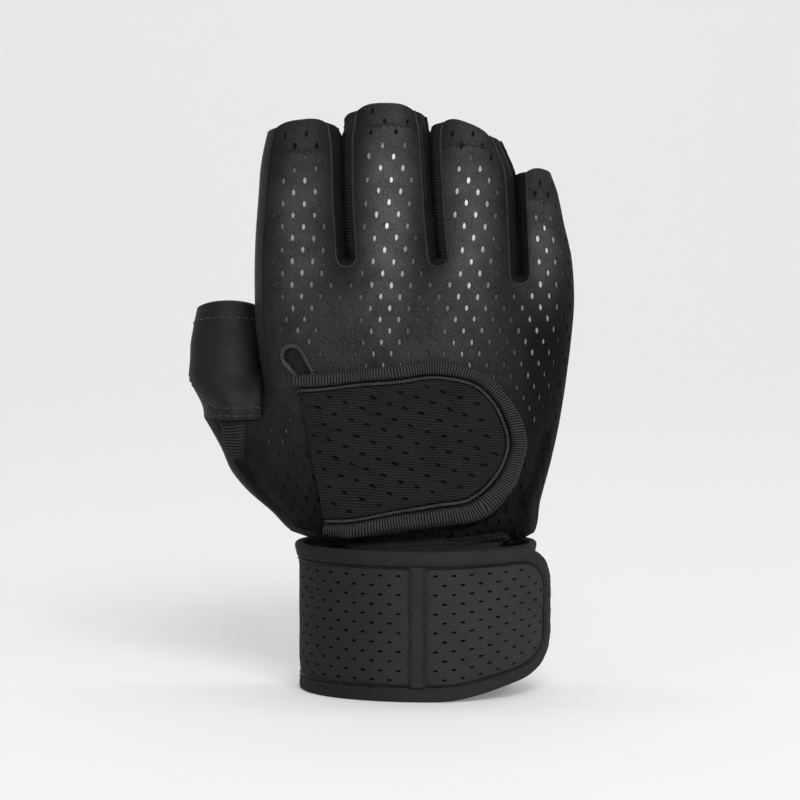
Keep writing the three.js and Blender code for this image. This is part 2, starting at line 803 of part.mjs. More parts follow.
// The folded edge of the wrap, along its top, round its outer end and along its bottom.
function wrapEdge() {
  const half = wrapEdgeWidth / 2;
  const radius = wrapEndRadius;
  const path = [];
  const steps = 30;
  for (let i = 0; i < steps; i += 1) {
    path.push({ s: wrapLength + ((radius - wrapLength) * i) / steps, z: wrapHeight, ns: 0, nz: 1 });
  }
  const round = (from) => {
    for (let i = 0; i <= 6; i += 1) {
      const angle = ((from - (90 * i) / 6) * Math.PI) / 180;
      const centreZ = from > 0 ? wrapHeight - radius : radius;
      path.push({
        s: radius - radius * Math.cos(angle),
        z: centreZ + radius * Math.sin(angle),
        ns: -Math.cos(angle),
        nz: Math.sin(angle),
      });
    }
  };
  round(90);
  round(0);
  for (let i = 1; i <= steps; i += 1) {
    path.push({ s: radius + ((wrapLength - radius) * i) / steps, z: 0, ns: 0, nz: -1 });
  }
  const chamfer = 0.6;
  const section = [
    [0, chamfer],
    [chamfer, 0],
    [2 * half - chamfer, 0],
    [2 * half, chamfer],
    [2 * half, wrapEdgeThickness - chamfer],
    [2 * half - chamfer, wrapEdgeThickness],
    [chamfer, wrapEdgeThickness],
    [0, wrapEdgeThickness - chamfer],
  ];
  const loops = path.map(({ s, z, ns, nz }) => section.map(([inward, depth]) => {
    return wrapAt(s - ns * inward, z - nz * inward, depth);
  }));
  return bar(loops);
}

function seamTape() {
  const centre = wrapLengths[Math.round(wrapEndAngle - seamTapeAngle)];
  const low = wrapEdgeWidth + seamGap;
  const rows = [low, wrapHeight / 2, wrapHeight - low].map((z) => {
    return [-0.5, 0, 0.5].map((share) => wrapAt(centre + share * seamTapeWidth, z, -layerGap));
  });
  return new Surface().grid(rows, true).shell(0, seamTapeThickness);
}

// The strap's outline as evenly spaced stations, half of them before the tip of its rounded end.
const strapCurve = new THREE.CatmullRomCurve3(
  strapOutline.map((row) => new THREE.Vector3(row.out * palmWidth, 0, row.up * gloveHeight)),
);
const strapHalf = 15;

function strapStations() {
  const tip = 0.52;
  const stations = [];
  for (let i = 0; i <= 2 * strapHalf; i += 1) {
    const share = i / strapHalf;
    const at = share <= 1 ? tip * share : tip + (1 - tip) * (share - 1);
    const point = strapCurve.getPointAt(at);
    const along = strapCurve.getTangentAt(at);
    stations.push({ x: point.x, z: point.z, inX: along.z, inZ: -along.x });
  }
  return stations;
}

// The straight seam at the strap's left end.
const strapSeam = [
  strapOutline[0].out * palmWidth,
  strapOutline[0].up * gloveHeight,
  strapOutline[strapOutline.length - 1].out * palmWidth,
  strapOutline[strapOutline.length - 1].up * gloveHeight,
];

function strapLift(x, z) {
  const share = (z - strapSeam[3]) / (strapSeam[1] - strapSeam[3]);
  const seamX = strapSeam[2] + (strapSeam[0] - strapSeam[2]) * share;
  const full = strapBaseThickness + 2 * layerGap;
  return layerGap + (full - layerGap) * smooth(1, strapRise, x - seamX);
}

function strapBand(from, to, low, high, sides) {
  const stations = strapStations();
  const loops = stations.map(({ x, z, inX, inZ }) => sides.map(([across, up]) => {
    const inset = from + (to - from) * across;
    const px = x + inX * inset;
    const pz = z + inZ * inset;
    return over(px, pz, strapLift(px, pz) + low + (high - low) * up);
  }));
  return bar(loops, true);
}

function strapSheet(inset, low, high, shift = { out: 0, up: 0 }, onBase = true, skip = 0) {
  const stations = strapStations().map(({ x, z, inX, inZ }) => [
    x + inX * inset + shift.out,
    z + inZ * inset + shift.up,
  ]);
  const across = [0, 0.12, 0.36, 0.64, 0.88, 1];
  const rows = [];
  for (let i = skip; i <= strapHalf; i += 1) {
    const top = stations[i];
    const bottom = stations[2 * strapHalf - i];
    rows.push(across.map((share) => {
      const x = bottom[0] + (top[0] - bottom[0]) * share;
      const z = bottom[1] + (top[1] - bottom[1]) * share;
      return over(x, z, (onBase ? strapLift(x, z) : layerGap) + low);
    }));
  }
  return new Surface().grid(rows, true).shell(0, high - low);
}

const flatBar = [
  [0, 0.15],
  [0.1, 0],
  [0.9, 0],
  [1, 0.15],
  [1, 0.7],
  [0.75, 1],
  [0.25, 1],
  [0, 0.7],
];
const cord = [
  [0, 0.5],
  [0.2, 0],
  [0.8, 0],
  [1, 0.5],
  [0.8, 1],
  [0.2, 1],
];

// The teardrop of the eyelet, grown by a margin.
function eyeletLoop(grow) {
  const dx = eyelet.tipX - eyelet.x;
  const dz = eyelet.tipZ - eyelet.z;
  const reach = Math.hypot(dx, dz);
  const heading = Math.atan2(dz, dx);
  const radius = eyelet.radius + grow;
  const open = Math.acos(eyelet.radius / reach);
  const points = [];
  for (let i = 0; i <= 12; i += 1) {
    const angle = heading + open + ((2 * Math.PI - 2 * open) * i) / 12;
    points.push([eyelet.x + radius * Math.cos(angle), eyelet.z + radius * Math.sin(angle)]);
  }
  points.push([eyelet.tipX + (grow * dx) / reach, eyelet.tipZ + (grow * dz) / reach]);
  return points;
}

function eyeletRing() {
  const loops = [];
  const inner = eyeletLoop(0.1);
  const outer = eyeletLoop(0.1 + eyeletBead);
  inner.forEach(([x, z], i) => {
    const [ox, oz] = outer[i];
    loops.push(cord.map(([across, up]) => {
      const px = x + (ox - x) * across;
      const pz = z + (oz - z) * across;
      return over(px, pz, layerGap + eyeletBead * up);
    }));
  });
  return bar(loops, true, true);
}

function eyeletCutter() {
  const loop = eyeletLoop(0);
  const loops = [-40, 0].map((y) => loop.map(([x, z]) => [x, y, z]));
  return toManifold(bar(loops, true));
}

// A patch that lies over the hand's surface on the back.
function patch(area, thickness, across, up) {
  const rows = [];
  for (let i = 0; i <= up; i += 1) {
    const z = (area.bottom + ((area.top - area.bottom) * i) / up) * gloveHeight;
    const row = [];
    for (let j = 0; j <= across; j += 1) {
      const x = (area.left + ((area.right - area.left) * j) / across) * palmWidth;
      row.push(over(x, z, layerGap));
    }
    rows.push(row);
  }
  return new Surface().grid(rows).shell(0, thickness);
}

const root = new THREE.Group();
root.name = "weightlifting_glove";

function piece(name, geometry, colour) {
  geometry.computeVertexNormals();
  const mesh = new THREE.Mesh(geometry, new THREE.MeshStandardMaterial({ color: colour, roughness: 0.8 }));
  mesh.name = name;
  root.add(mesh);
}

const backSolid = toManifold(handPanel(-1).shell(-clothWall, 0));
piece("back_panel", fromManifold(backSolid.subtract(eyeletCutter())), colours.cloth);
piece("palm_panel", handPanel(1).shell(-leatherWall, 0), colours.leather);
piece("index_side_strip", sideStrip(indexStations(), false).shell(-clothWall, 0), colours.leather);
piece("fourchette_index_middle", sideStrip(slotStations(0), true).shell(-clothWall, 0), colours.elastic);
piece("fourchette_middle_ring", sideStrip(slotStations(1), true).shell(-clothWall, 0), colours.elastic);
piece("fourchette_ring_little", sideStrip(slotStations(2), true).shell(-clothWall, 0), colours.elastic);
piece("thumb_stall", thumbStall().shell(-thumbPanelWall, 0), colours.leather);
piece("thumb_knit_insert", patch(thumbInsert, insertThickness, 4, 4), colours.elastic);
piece("eyelet_ring", eyeletRing(), colours.elastic);
piece("strap_base", strapSheet(0.4, 0, strapBaseThickness, strapBaseShift, false, 5), colours.elastic);
piece("strap_panel", strapSheet(strapEdgeWidth + pipingWidth + 2 * layerGap, 0.2, 0.2 + strapPanelThickness), colours.cloth);
piece("strap_edge", strapBand(0, strapEdgeWidth, 0, strapEdgeThickness, flatBar), colours.elastic);
piece(
  "strap_piping",
  strapBand(strapEdgeWidth + layerGap, strapEdgeWidth + layerGap + pipingWidth, 0.6, 0.6 + pipingWidth, cord),
  colours.elastic,
);
piece("wrist_elastic", patch(elasticEdge, elasticThickness, 10, 3), colours.elastic);
piece("wrap_panel", wrapPanel(), colours.wrap);
piece("wrap_edge", wrapEdge(), colours.wrap);
piece("wrap_seam_tape", seamTape(), colours.wrap);

// The origin is at the bottom, under the middle of everything.
const bounds = new THREE.Box3().setFromObject(root);
const centre = bounds.getCenter(new THREE.Vector3());
for (const mesh of root.children) mesh.geometry.translate(-centre.x, -centre.y, -bounds.min.z);

export default root;
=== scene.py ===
import math

import bpy
import numpy as np
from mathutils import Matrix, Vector
from mathutils.geometry import delaunay_2d_cdt


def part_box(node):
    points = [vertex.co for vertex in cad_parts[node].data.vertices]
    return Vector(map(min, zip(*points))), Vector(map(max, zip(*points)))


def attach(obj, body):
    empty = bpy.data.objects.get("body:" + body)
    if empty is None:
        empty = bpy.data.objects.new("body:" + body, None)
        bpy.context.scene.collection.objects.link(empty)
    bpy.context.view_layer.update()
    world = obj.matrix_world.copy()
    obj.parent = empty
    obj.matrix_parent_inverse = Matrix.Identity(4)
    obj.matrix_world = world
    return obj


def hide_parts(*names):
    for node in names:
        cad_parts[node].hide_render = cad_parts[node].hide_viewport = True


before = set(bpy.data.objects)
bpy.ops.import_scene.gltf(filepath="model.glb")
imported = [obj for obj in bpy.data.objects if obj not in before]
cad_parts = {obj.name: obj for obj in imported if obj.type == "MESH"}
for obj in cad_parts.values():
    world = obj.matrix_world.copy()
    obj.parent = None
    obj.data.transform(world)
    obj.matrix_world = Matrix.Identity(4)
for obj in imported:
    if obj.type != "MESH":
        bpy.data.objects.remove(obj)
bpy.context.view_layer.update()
print("frame loaded")

# Sizes are in millimetres here, in the glove's own layout: x from the thumb side to the little-finger
# side with 0 at the middle of the wrist wrap, y from the back of the hand to the palm, z from the wrist up.
hand = {
    "seamInset": 3.2,  # from the outline in to a panel's seam
    "seamGap": 0.3,
    "layerGap": 0.35,
    "sleeveBottom": 37.0,
    "sleeveTop": 48.3,
    "sleeveSide": 34.5,
    "sleeveLittleSide": 30.2,
    "sleeveFront": 19.7,
    "sleeveBack": 23.98,
    "sleeveRound": 29.87,  # how far in from the outline the sleeve is rounded
    "leanStart": 125.0,
    "leanRadius": 254.0,
    "thumbCut": 86.7,
    "thumbHeight": 34.2,
}

# The tables hold shares of the glove's height and of its width across the knuckles.
glove = {"height": 187.0, "width": 103.0}
columnSize = {
    **dict.fromkeys(("up", "back", "palm"), glove["height"]),
    **dict.fromkeys(("out", "gap", "round", "little"), glove["width"]),
}


def table(names, *rows):  # named columns in millimetres
    columns = zip(names.split(), zip(*rows))
    return {name: np.array(values, float) * columnSize[name] for name, values in columns}


thumbSide = table(
    "up out",
    (0.270, -0.412), (0.289, -0.450), (0.305, -0.478), (0.340, -0.554), (0.374, -0.608),
    (0.409, -0.638), (0.443, -0.673), (0.465, -0.697), (0.503, -0.727),
)
indexSide = table(
    "up out",
    (0.482, -0.526), (0.508, -0.504), (0.537, -0.508), (0.580, -0.520), (0.631, -0.530), (0.706, -0.533),
    (0.775, -0.530), (0.856, -0.520), (0.898, -0.515), (0.930, -0.506), (0.968, -0.491),
)
littleSide = table(
    "up out",
    (0.271, 0.343), (0.322, 0.361), (0.391, 0.396), (0.460, 0.424), (0.561, 0.451), (0.647, 0.467),
    (0.695, 0.467), (0.749, 0.458), (0.802, 0.436), (0.858, 0.415), (0.888, 0.396),
)
slots = [
    table(
        "up out gap",
        (0.743, -0.243, 0.002), (0.837, -0.254, 0.002), (0.909, -0.257, 0.003),
        (0.941, -0.259, 0.006), (0.968, -0.260, 0.014), (0.995, -0.261, 0.019),
    ),
    table(
        "up out gap",
        (0.743, 0.039, 0.002), (0.802, 0.028, 0.002), (0.888, 0.018, 0.002),
        (0.947, 0.014, 0.004), (0.968, 0.014, 0.011), (0.995, 0.013, 0.019),
    ),
    table(
        "up out gap",
        (0.714, 0.293, 0.002), (0.802, 0.286, 0.002), (0.877, 0.280, 0.003),
        (0.898, 0.274, 0.006), (0.925, 0.262, 0.014), (0.952, 0.247, 0.021),
    ),
]
# The left and right corner of each finger's end.
fingerEnds = np.array([(0.963, 0.968), (0.987, 0.987), (0.968, 0.947), (0.888, 0.880)])
fingerEnds = fingerEnds * glove["height"] - 0.3
fullness = table(
    "up back palm round little",
    (0.270, 0.104, 0.110, 0.290, 0.290), (0.330, 0.106, 0.112, 0.270, 0.260),
    (0.460, 0.094, 0.102, 0.215, 0.200), (0.560, 0.083, 0.086, 0.175, 0.150),
    (0.670, 0.075, 0.070, 0.136, 0.110), (0.750, 0.063, 0.060, 0.104, 0.074),
    (1.000, 0.058, 0.057, 0.101, 0.070),
)


def sleeveLine(side, line):  # an outer side carried on down over the sleeve
    bottom, top = hand["sleeveBottom"], hand["sleeveTop"]
    return {
        "up": np.concatenate([[bottom - 12, bottom, top - 3, top], line["up"]]),
        "out": np.concatenate([[side, side, side * 1.01, side * 1.04], line["out"]]),
    }


thumbLine = sleeveLine(-hand["sleeveSide"], thumbSide)
littleLine = sleeveLine(hand["sleeveLittleSide"], littleSide)
body = {"up": np.concatenate([[hand["sleeveBottom"], hand["sleeveTop"] - 2], fullness["up"]])}
for column, source in (
    ("back", "sleeveFront"), ("palm", "sleeveBack"), ("round", "sleeveRound"), ("little", "sleeveRound"),
):
    body[column] = np.concatenate([[hand[source]] * 2, fullness[column]])


def along(source, column, z):  # a smooth curve through one column of a table
    at, values = source["up"], source[column]
    z = np.asarray(z, float)
    slope = np.empty(len(at))
    slope[0] = (values[1] - values[0]) / (at[1] - at[0])
    slope[-1] = (values[-1] - values[-2]) / (at[-1] - at[-2])
    slope[1:-1] = (values[2:] - values[:-2]) / (at[2:] - at[:-2])
    i = np.clip(np.searchsorted(at, z) - 1, 0, len(at) - 2)
    width = at[i + 1] - at[i]
    t = (z - at[i]) / width
    c = np.clip(t, 0, 1)
    inside = (2 * c**3 - 3 * c**2 + 1) * values[i] + (c**3 - 2 * c**2 + c) * slope[i] * width
    inside += (3 * c**2 - 2 * c**3) * values[i + 1] + (c**3 - c**2) * slope[i + 1] * width
    return inside + np.minimum(t, 0) * slope[i] * width + np.maximum(t - 1, 0) * slope[i + 1] * width


def smooth(start, end, value):  # from 0 at start to 1 at end, eased at both
    t = np.clip((np.asarray(value, float) - start) / (end - start), 0, 1)
    return t * t * (3 - 2 * t)


def thumbX(z):
    return along(thumbLine, "out", z)


def littleX(z):
    return along(littleLine, "out", z)


def indexX(z):
    return along(indexSide, "out", z)


def slotX(slot, side, z):  # side is -1 for a slot's left edge and 1 for its right
    return along(slots[slot], "out", z) + side * np.maximum(0.2, along(slots[slot], "gap", z))


def slant(edge, z):  # how much longer an edge is than it is high
    return np.hypot(1, (edge(z + 1) - edge(z - 1)) / 2)


slotBottoms = [slot["up"][0] for slot in slots]
crotch = (indexSide["out"][0], indexSide["up"][0])


def line(edge, low, high, count):
    z = np.linspace(low, high, count + 1)
    return np.column_stack([edge(z), z])


outlines = [
    line(thumbX, hand["sleeveBottom"] - 10, hand["thumbCut"] + 8, 40),
    line(indexX, crotch[1], 199, 40),
    line(littleX, hand["sleeveBottom"] - 10, 199, 60),
]
for slot in range(3):
    leftEdge = line(lambda z: slotX(slot, -1, z), slotBottoms[slot], 199, 30)
    rightEdge = line(lambda z: slotX(slot, 1, z), slotBottoms[slot], 199, 30)
    outlines.append(np.concatenate([leftEdge[::-1], rightEdge]))


def loopOf(path):  # with its first point again at the end
    return np.concatenate([path, path[:1]])


def distanceTo(path, x, z):
    start, step = path[:-1], np.diff(path, axis=0)
    length = np.maximum((step**2).sum(1), 1e-9)
    best = np.empty(len(x))
    for i in range(0, len(x), 3000):
        dx = x[i : i + 3000, None] - start[:, 0]
        dz = z[i : i + 3000, None] - start[:, 1]
        t = np.clip((dx * step[:, 0] + dz * step[:, 1]) / length, 0, 1)
        best[i : i + 3000] = np.hypot(dx - t * step[:, 0], dz - t * step[:, 1]).min(1)
    return best


def depthIn(x, z):  # distance in from the outlines, rounded off where two are equally near
    return sum((distanceTo(path, x, z) + 1e-6) ** -4 for path in outlines) ** -0.25


def roundness(x, z):  # how far in from the outline the form is still turning
    share = smooth(18, 34, x)
    return along(body, "round", z) * (1 - share) + along(body, "little", z) * share


def middleY(x, z):  # halfway between back and palm
    toLittle = 6.5 * (np.maximum(x + 8, 0) / 46) ** 2
    toThumb = 2.6 * (np.maximum(-8 - x, 0) / 32) ** 2
    return (toLittle + toThumb) * smooth(hand["sleeveTop"] - 2, hand["sleeveTop"] + 36, z)


def shareIn(x, z):  # 0 on the outline, 1 where the back and palm are fully apart
    inward = np.minimum(1, depthIn(x, z) / roundness(x, z))
    return np.sqrt(1 - (1 - inward) ** 2)


def skinY(x, z, side, share=None):  # side is -1 on the back and 1 on the palm
    share = shareIn(x, z) if share is None else share
    slim = 1 - 0.14 * smooth(18, 34, x) * smooth(115, 140, z)
    half = np.where(side < 0, along(body, "back", z), along(body, "palm", z))
    return middleY(x, z) + side * share * slim * half


def lean(x, y, z):  # the fingers lean to the palm
    angle = np.maximum(z - hand["leanStart"], 0) / hand["leanRadius"]
    reach = hand["leanRadius"] - y
    bent = z > hand["leanStart"]
    return np.column_stack([
        x,
        np.where(bent, hand["leanRadius"] - reach * np.cos(angle), y),
        np.where(bent, hand["leanStart"] + reach * np.sin(angle), z),
    ])


# Folds and soft swellings: on which side, how wide, how far it rises or sinks, and its path.
folds = [
    (-1, 1.7, -2.3, [(-57.5, 72.0), (-54.5, 67.0), (-50.5, 61.5), (-44.5, 55.0)]),
    (-1, 2.4, 1.2, [(-60.0, 71.5), (-56.8, 65.5), (-52.5, 58.5), (-47.5, 53.0)]),
    (-1, 2.6, 0.8, [(-53.0, 76.0), (-49.5, 68.0), (-41.5, 59.5)]),
    (-1, 2.0, -0.8, [(-52.0, 70.0), (-46.0, 60.5), (-39.0, 54.0)]),
    (-1, 1.8, -2.3, [(38.5, 84.0), (36.5, 76.0), (34.5, 67.5), (31.0, 61.0)]),
    (-1, 1.8, 1.5, [(36.0, 70.0), (33.0, 62.0), (33.5, 54.5)]),
    (-1, 1.8, -1.7, [(29.5, 66.0), (30.5, 58.0), (27.0, 52.0)]),
    (-1, 1.5, 1.1, [(8.0, 51.5), (18.0, 54.0), (28.0, 57.5)]),
    (-1, 1.4, -0.9, [(6.0, 54.5), (17.0, 57.0), (25.0, 60.5)]),
    (-1, 1.4, -0.8, [(-33.0, 53.0), (-20.0, 51.5), (-8.0, 52.0)]),
    (-1, 1.8, 0.8, [(-44.0, 57.5), (-36.0, 51.0), (-28.0, 48.5)]),
    (-1, 5.0, 0.35, [(-12.3, 176.0), (-12.5, 150.0), (-11.0, 122.0), (-9.0, 108.0)]),
    (-1, 4.5, 0.35, [(13.6, 170.0), (13.2, 150.0), (13.5, 126.0), (12.5, 110.0)]),
    (1, 2.6, -1.4, [(-38.0, 92.0), (-20.0, 97.0), (2.0, 96.0), (22.0, 90.0), (34.0, 86.0)]),
    (1, 3.0, -1.5, [(-30.0, 78.0), (-16.0, 84.0), (-6.0, 80.0), (0.0, 66.0), (2.0, 55.0)]),
    (1, 2.6, -1.2, [(-44.0, 118.0), (-20.0, 122.0), (6.0, 121.0), (34.0, 114.0)]),
    (1, 2.0, -1.1, [(-24.0, 58.0), (-14.0, 55.0), (0.0, 57.0)]),
    (1, 1.6, -0.6, [(-50.0, 148.0), (-40.0, 149.5), (-29.0, 148.0)]),
    (1, 1.6, -0.6, [(-23.0, 152.0), (-12.0, 153.5), (-1.0, 152.0)]),
    (1, 1.6, -0.6, [(4.0, 148.0), (14.0, 149.5), (25.0, 147.0)]),
    (1, 1.5, -0.5, [(31.0, 138.0), (37.0, 139.0), (43.0, 137.0)]),
]


def relief(x, z, side):  # how far the cloth stands out from the smooth form
    result = np.zeros(len(x))
    for foldSide, width, rise, path in folds:
        path = np.array(path)
        low, high = path.min(0) - 3 * width, path.max(0) + 3 * width
        near = (side == foldSide) & (x > low[0]) & (x < high[0]) & (z > low[1]) & (z < high[1])
        if near.any():
            far = distanceTo(path, x[near], z[near]) / width
            result[near] += foldSide * rise * np.exp(-far * far)
    depth = depthIn(x, z)
    result *= smooth(0.0, 3.0, depth)  # both sides meet on the outline
    gentle = 0.22 * np.sin(x * 0.31 + 1.7) * np.sin(z * 0.23 + 0.4) + 0.14 * np.sin(x * 0.17 - z * 0.41)
    return result + side * gentle * np.clip(depth / 8, 0, 1)


# The wrist wrap is a band that goes round once and laps over its own start. s runs along it.
wrap = {
    "height": 47.7, "halfWidth": 40.5, "halfDepth": 28.5, "edgeThickness": 2.8,
    "edgeWidth": 5.4, "endRadius": 16.0, "endAngle": -14.0, "turn": 420, "pitch": 3.2,
    "boxCentre": (0.0, -0.799),  # middle of the wrap edge's box in the glove's own layout
}


def wrapRing(turn, depth):  # degrees along the band, and how deep under its outer face
    angle = np.radians(wrap["endAngle"] - turn)
    offset = wrap["pitch"] * (165 - turn) / 360 - depth
    nx, ny = np.cos(angle) / wrap["halfWidth"], np.sin(angle) / wrap["halfDepth"]
    length = np.hypot(nx, ny)
    nx, ny = nx / length, ny / length
    x = wrap["halfWidth"] * np.cos(angle) + nx * offset
    y = wrap["halfDepth"] * np.sin(angle) + ny * offset
    return x, y, nx, ny


turns = np.arange(wrap["turn"] + 1.0)
ringX, ringY, _, _ = wrapRing(turns, wrap["edgeThickness"] / 2)
wrapRun = np.concatenate([[0], np.cumsum(np.hypot(np.diff(ringX), np.diff(ringY)))])
wrapLength = wrapRun[-1]


def wrapAt(s, z, lift=0.0):  # a point of the wrap; lift is out from its outer face
    s, z, lift = (np.asarray(v, float) for v in np.broadcast_arrays(s, z, lift))
    turn = np.interp(s, wrapRun, turns)
    nearTop = 1 - smooth(0, 9, wrap["height"] - z)
    flare = 1.4 * nearTop * smooth(100, 150, turn) * (1 - smooth(215, 260, turn))
    x, y, nx, ny = wrapRing(turn, -lift - flare)
    under = smooth(250, 305, turn)  # the lapped-over part is narrower and sits higher
    low = np.clip(1 - z / wrap["height"], 0, 1)
    x = np.where(x > 0, x * (1 - under * (0.07 + 0.18 * low)), x)
    z = z + 4.5 * low * under + 7.3 * (1 - smooth(3, 44, s)) * low  # the free end's lower edge climbs
    return np.column_stack([x, y, z]), np.column_stack([nx, ny, np.zeros_like(nx)])


# The glove's own layout is moved to the frame's: the wrap's edge tells how far.
wrapLow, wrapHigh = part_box("wrap_edge")
shift = (np.array(wrapLow) + np.array(wrapHigh)) / 2
shift -= np.array([wrap["boxCentre"][0], wrap["boxCentre"][1], wrap["height"] / 2]) * 0.001


def skin(x, z, side, share=None):  # points of the glove's surface
    x, z, side = (np.asarray(v, float) for v in np.broadcast_arrays(x, z, side))
    return lean(x, skinY(x, z, side, share) + relief(x, z, side), z)


def rolledShare(x, z, turn):  # round an outer side the turn itself tells how far back and palm are apart
    rolled = smooth(0.4, 0.75, turn)
    return shareIn(x, z) * (1 - rolled) + np.abs(np.sin((1 - turn) * math.pi / 2)) * rolled


littleTurn = {"edge": littleX, "at": 40.0, "flat": 0.86}
thumbTurn = {"edge": thumbX, "at": -40.0, "flat": 1.0}


def turnAt(z, way):  # round an outer side: how rounded it is, how far in it starts and its quarter arc
    radius = roundness(np.full_like(z, way["at"]), z)
    reach = radius * slant(way["edge"], z)
    arc = math.pi / 2 * np.sqrt((reach**2 + (way["flat"] * along(body, "back", z)) ** 2) / 2)
    return radius, reach, arc


def backBase(u, z):  # u goes across the back and on round the little-finger side
    edge = littleX(z)
    _, reach, arc = turnAt(z, littleTurn)
    turn = (u - (edge - reach)) / arc
    x = np.where(turn <= 0, u, edge - reach * (1 - np.cos((1 - turn) * math.pi / 2)))
    return skin(x, z, np.where(turn <= 1, -1.0, 1.0), rolledShare(x, z, turn))


def backSeamU(z, inset):  # where the back's seam lies on the palm side
    radius, reach, arc = turnAt(z, littleTurn)
    return littleX(z) - reach + arc * (1 + np.arccos(1 - inset / radius) / (math.pi / 2))


def palmBase(u, z):  # u goes across the palm and on round the thumb side
    edge = thumbX(z)
    _, reach, arc = turnAt(z, thumbTurn)
    turn = (edge + reach - u) / arc
    x = np.where(turn <= 0, u, edge + reach * (1 - np.cos((1 - turn) * math.pi / 2)))
    return skin(x, z, np.where(turn <= 1, 1.0, -1.0), rolledShare(x, z, turn))


def palmSeamU(z, inset):  # where the palm's seam lies on the front, along the thumb side
    radius, reach, arc = turnAt(z, thumbTurn)
    return thumbX(z) + reach - arc * (1 + np.arccos(1 - inset / radius) / (math.pi / 2))


def surfaceAt(base, u, z, sign=1.0):  # points of a surface and which way it faces there
    u, z = np.asarray(u, float), np.asarray(z, float)
    step = 0.3
    across = base(u + step, z) - base(u - step, z)
    up = base(u, z + step) - base(u, z - step)
    normal = np.cross(across, up) * sign
    return base(u, z), normal / np.maximum(np.linalg.norm(normal, axis=1), 1e-9)[:, None]


def backAt(u, z, lift=0.0):
    points, normals = surfaceAt(backBase, u, z)
    return points + normals * np.asarray(lift).reshape(-1, 1), normals


def insideOf(path, x, z):  # even-odd test against a closed outline
    inside = np.zeros(len(x), bool)
    for a, b in zip(path, np.roll(path, -1, axis=0)):
        if a[1] != b[1]:
            crosses = (a[1] > z) != (b[1] > z)
            inside ^= crosses & (x < (b[0] - a[0]) * (z - a[1]) / (b[1] - a[1]) + a[0])
    return inside


def evenly(path, spacing, closed=True):  # the same path with points about spacing apart, corners kept
    result = []
    count = len(path) if closed else len(path) - 1
    for i in range(count):
        a, b = path[i], path[(i + 1) % len(path)]
        steps = max(1, int(round(np.linalg.norm(b - a) / spacing)))
        result.extend(a + (b - a) * (k / steps) for k in range(steps))
    if not closed:
        result.append(path[-1])
    return np.array(result)


def cutSheet(outline, holes, spacing):  # a flat pattern with its holes, as triangles
    points, edges, owner = [], [], []
    for index, loop in enumerate([outline] + list(holes)):
        first = len(points)
        points.extend(loop)
        owner.extend([index] * len(loop))
        edges.extend((first + i, first + (i + 1) % len(loop)) for i in range(len(loop)))
    low, high = outline.min(0), outline.max(0)
    rows = np.arange(low[1], high[1], spacing * 0.87)
    inner = []
    for i, z in enumerate(rows):
        x = np.arange(low[0] + (i % 2) * spacing / 2, high[0], spacing)
        inner.append(np.column_stack([x, np.full_like(x, z)]))
    inner = np.concatenate(inner)
    inner = inner[insideOf(outline, inner[:, 0], inner[:, 1])]
    inner = inner[distanceTo(loopOf(outline), inner[:, 0], inner[:, 1]) > spacing * 0.55]
    if len(holes):
        corners = np.concatenate(holes)
        near = np.empty(len(inner))
        for i in range(0, len(inner), 500):
            gaps = inner[i : i + 500, None] - corners
            near[i : i + 500] = np.hypot(gaps[..., 0], gaps[..., 1]).min(1)
        inside = near < spacing * 0.5
        for hole in holes:
            centre = hole.mean(0)
            close = np.hypot(*(inner - centre).T) < 8
            inside[close] |= insideOf(hole, inner[close, 0], inner[close, 1])
        inner = inner[~inside]
    owner = np.array(owner + [-1] * len(inner))
    vectors = [Vector((float(x), float(z))) for x, z in points + list(inner)]
    found, _, faces, source, _, _ = delaunay_2d_cdt(vectors, edges, [], 0, 1e-5)
    flat = np.array([(p.x, p.y) for p in found])
    kind = np.array([owner[s[0]] if s else -1 for s in source])
    faces = np.array([f for f in faces if len(f) == 3])
    kinds = kind[faces]
    same = (kinds[:, 0] == kinds[:, 1]) & (kinds[:, 1] == kinds[:, 2])
    middle = flat[faces].mean(1)
    drop = same & (kinds[:, 0] > 0)
    edgeOnly = same & (kinds[:, 0] == 0)
    drop[edgeOnly] |= ~insideOf(outline, middle[edgeOnly, 0], middle[edgeOnly, 1])
    faces = faces[~drop]
    a, b, c = (flat[faces[:, k]] for k in range(3))
    turned = (b[:, 0] - a[:, 0]) * (c[:, 1] - a[:, 1]) - (b[:, 1] - a[:, 1]) * (c[:, 0] - a[:, 0]) < 0
    faces[turned] = faces[turned][:, ::-1]
    return flat, faces


def borderOf(faces):  # edges with a face on one side only
    ends = np.stack([faces, np.roll(faces, -1, axis=1)], axis=-1).reshape(-1, 2)
    ends = ends[ends[:, 0] != ends[:, 1]]
    known = set(map(tuple, ends.tolist()))
    return np.array([e for e in known if (e[1], e[0]) not in known], int).reshape(-1, 2)


def wall(points, normals, faces, top, bottom, roll=0.0):  # closed, with its free edges rounded by roll
    count = len(points)
    top, bottom = (np.broadcast_to(np.asarray(v, float), (count,))[:, None] for v in (top, bottom))
    upper, lower = points + normals * top, points + normals * bottom
    border = borderOf(faces)
    border = border[np.lexsort((border[:, 1], border[:, 0]))]
    run = np.zeros_like(points)
    for end in (0, 1):
        np.add.at(run, border[:, end], points[border[:, 1]] - points[border[:, 0]])
    rim = np.unique(border)
    out = np.cross(run[rim], normals[rim])
    out /= np.maximum(np.linalg.norm(out, axis=1), 1e-9)[:, None]
    middle = (upper[rim] + lower[rim]) / 2 + out * roll
    place = np.full(count, -1)
    place[rim] = 2 * count + np.arange(len(rim))
    verts = np.concatenate([upper, lower, middle])
    a, b = border[:, 0], border[:, 1]
    sides = np.concatenate([
        np.column_stack([b, a, place[a], place[b]]),
        np.column_stack([place[b], place[a], a + count, b + count]),
    ])
    source = np.concatenate([np.arange(count), np.arange(count), rim])
    return verts, faces.tolist() + (faces[:, ::-1] + count).tolist() + sides.tolist(), source


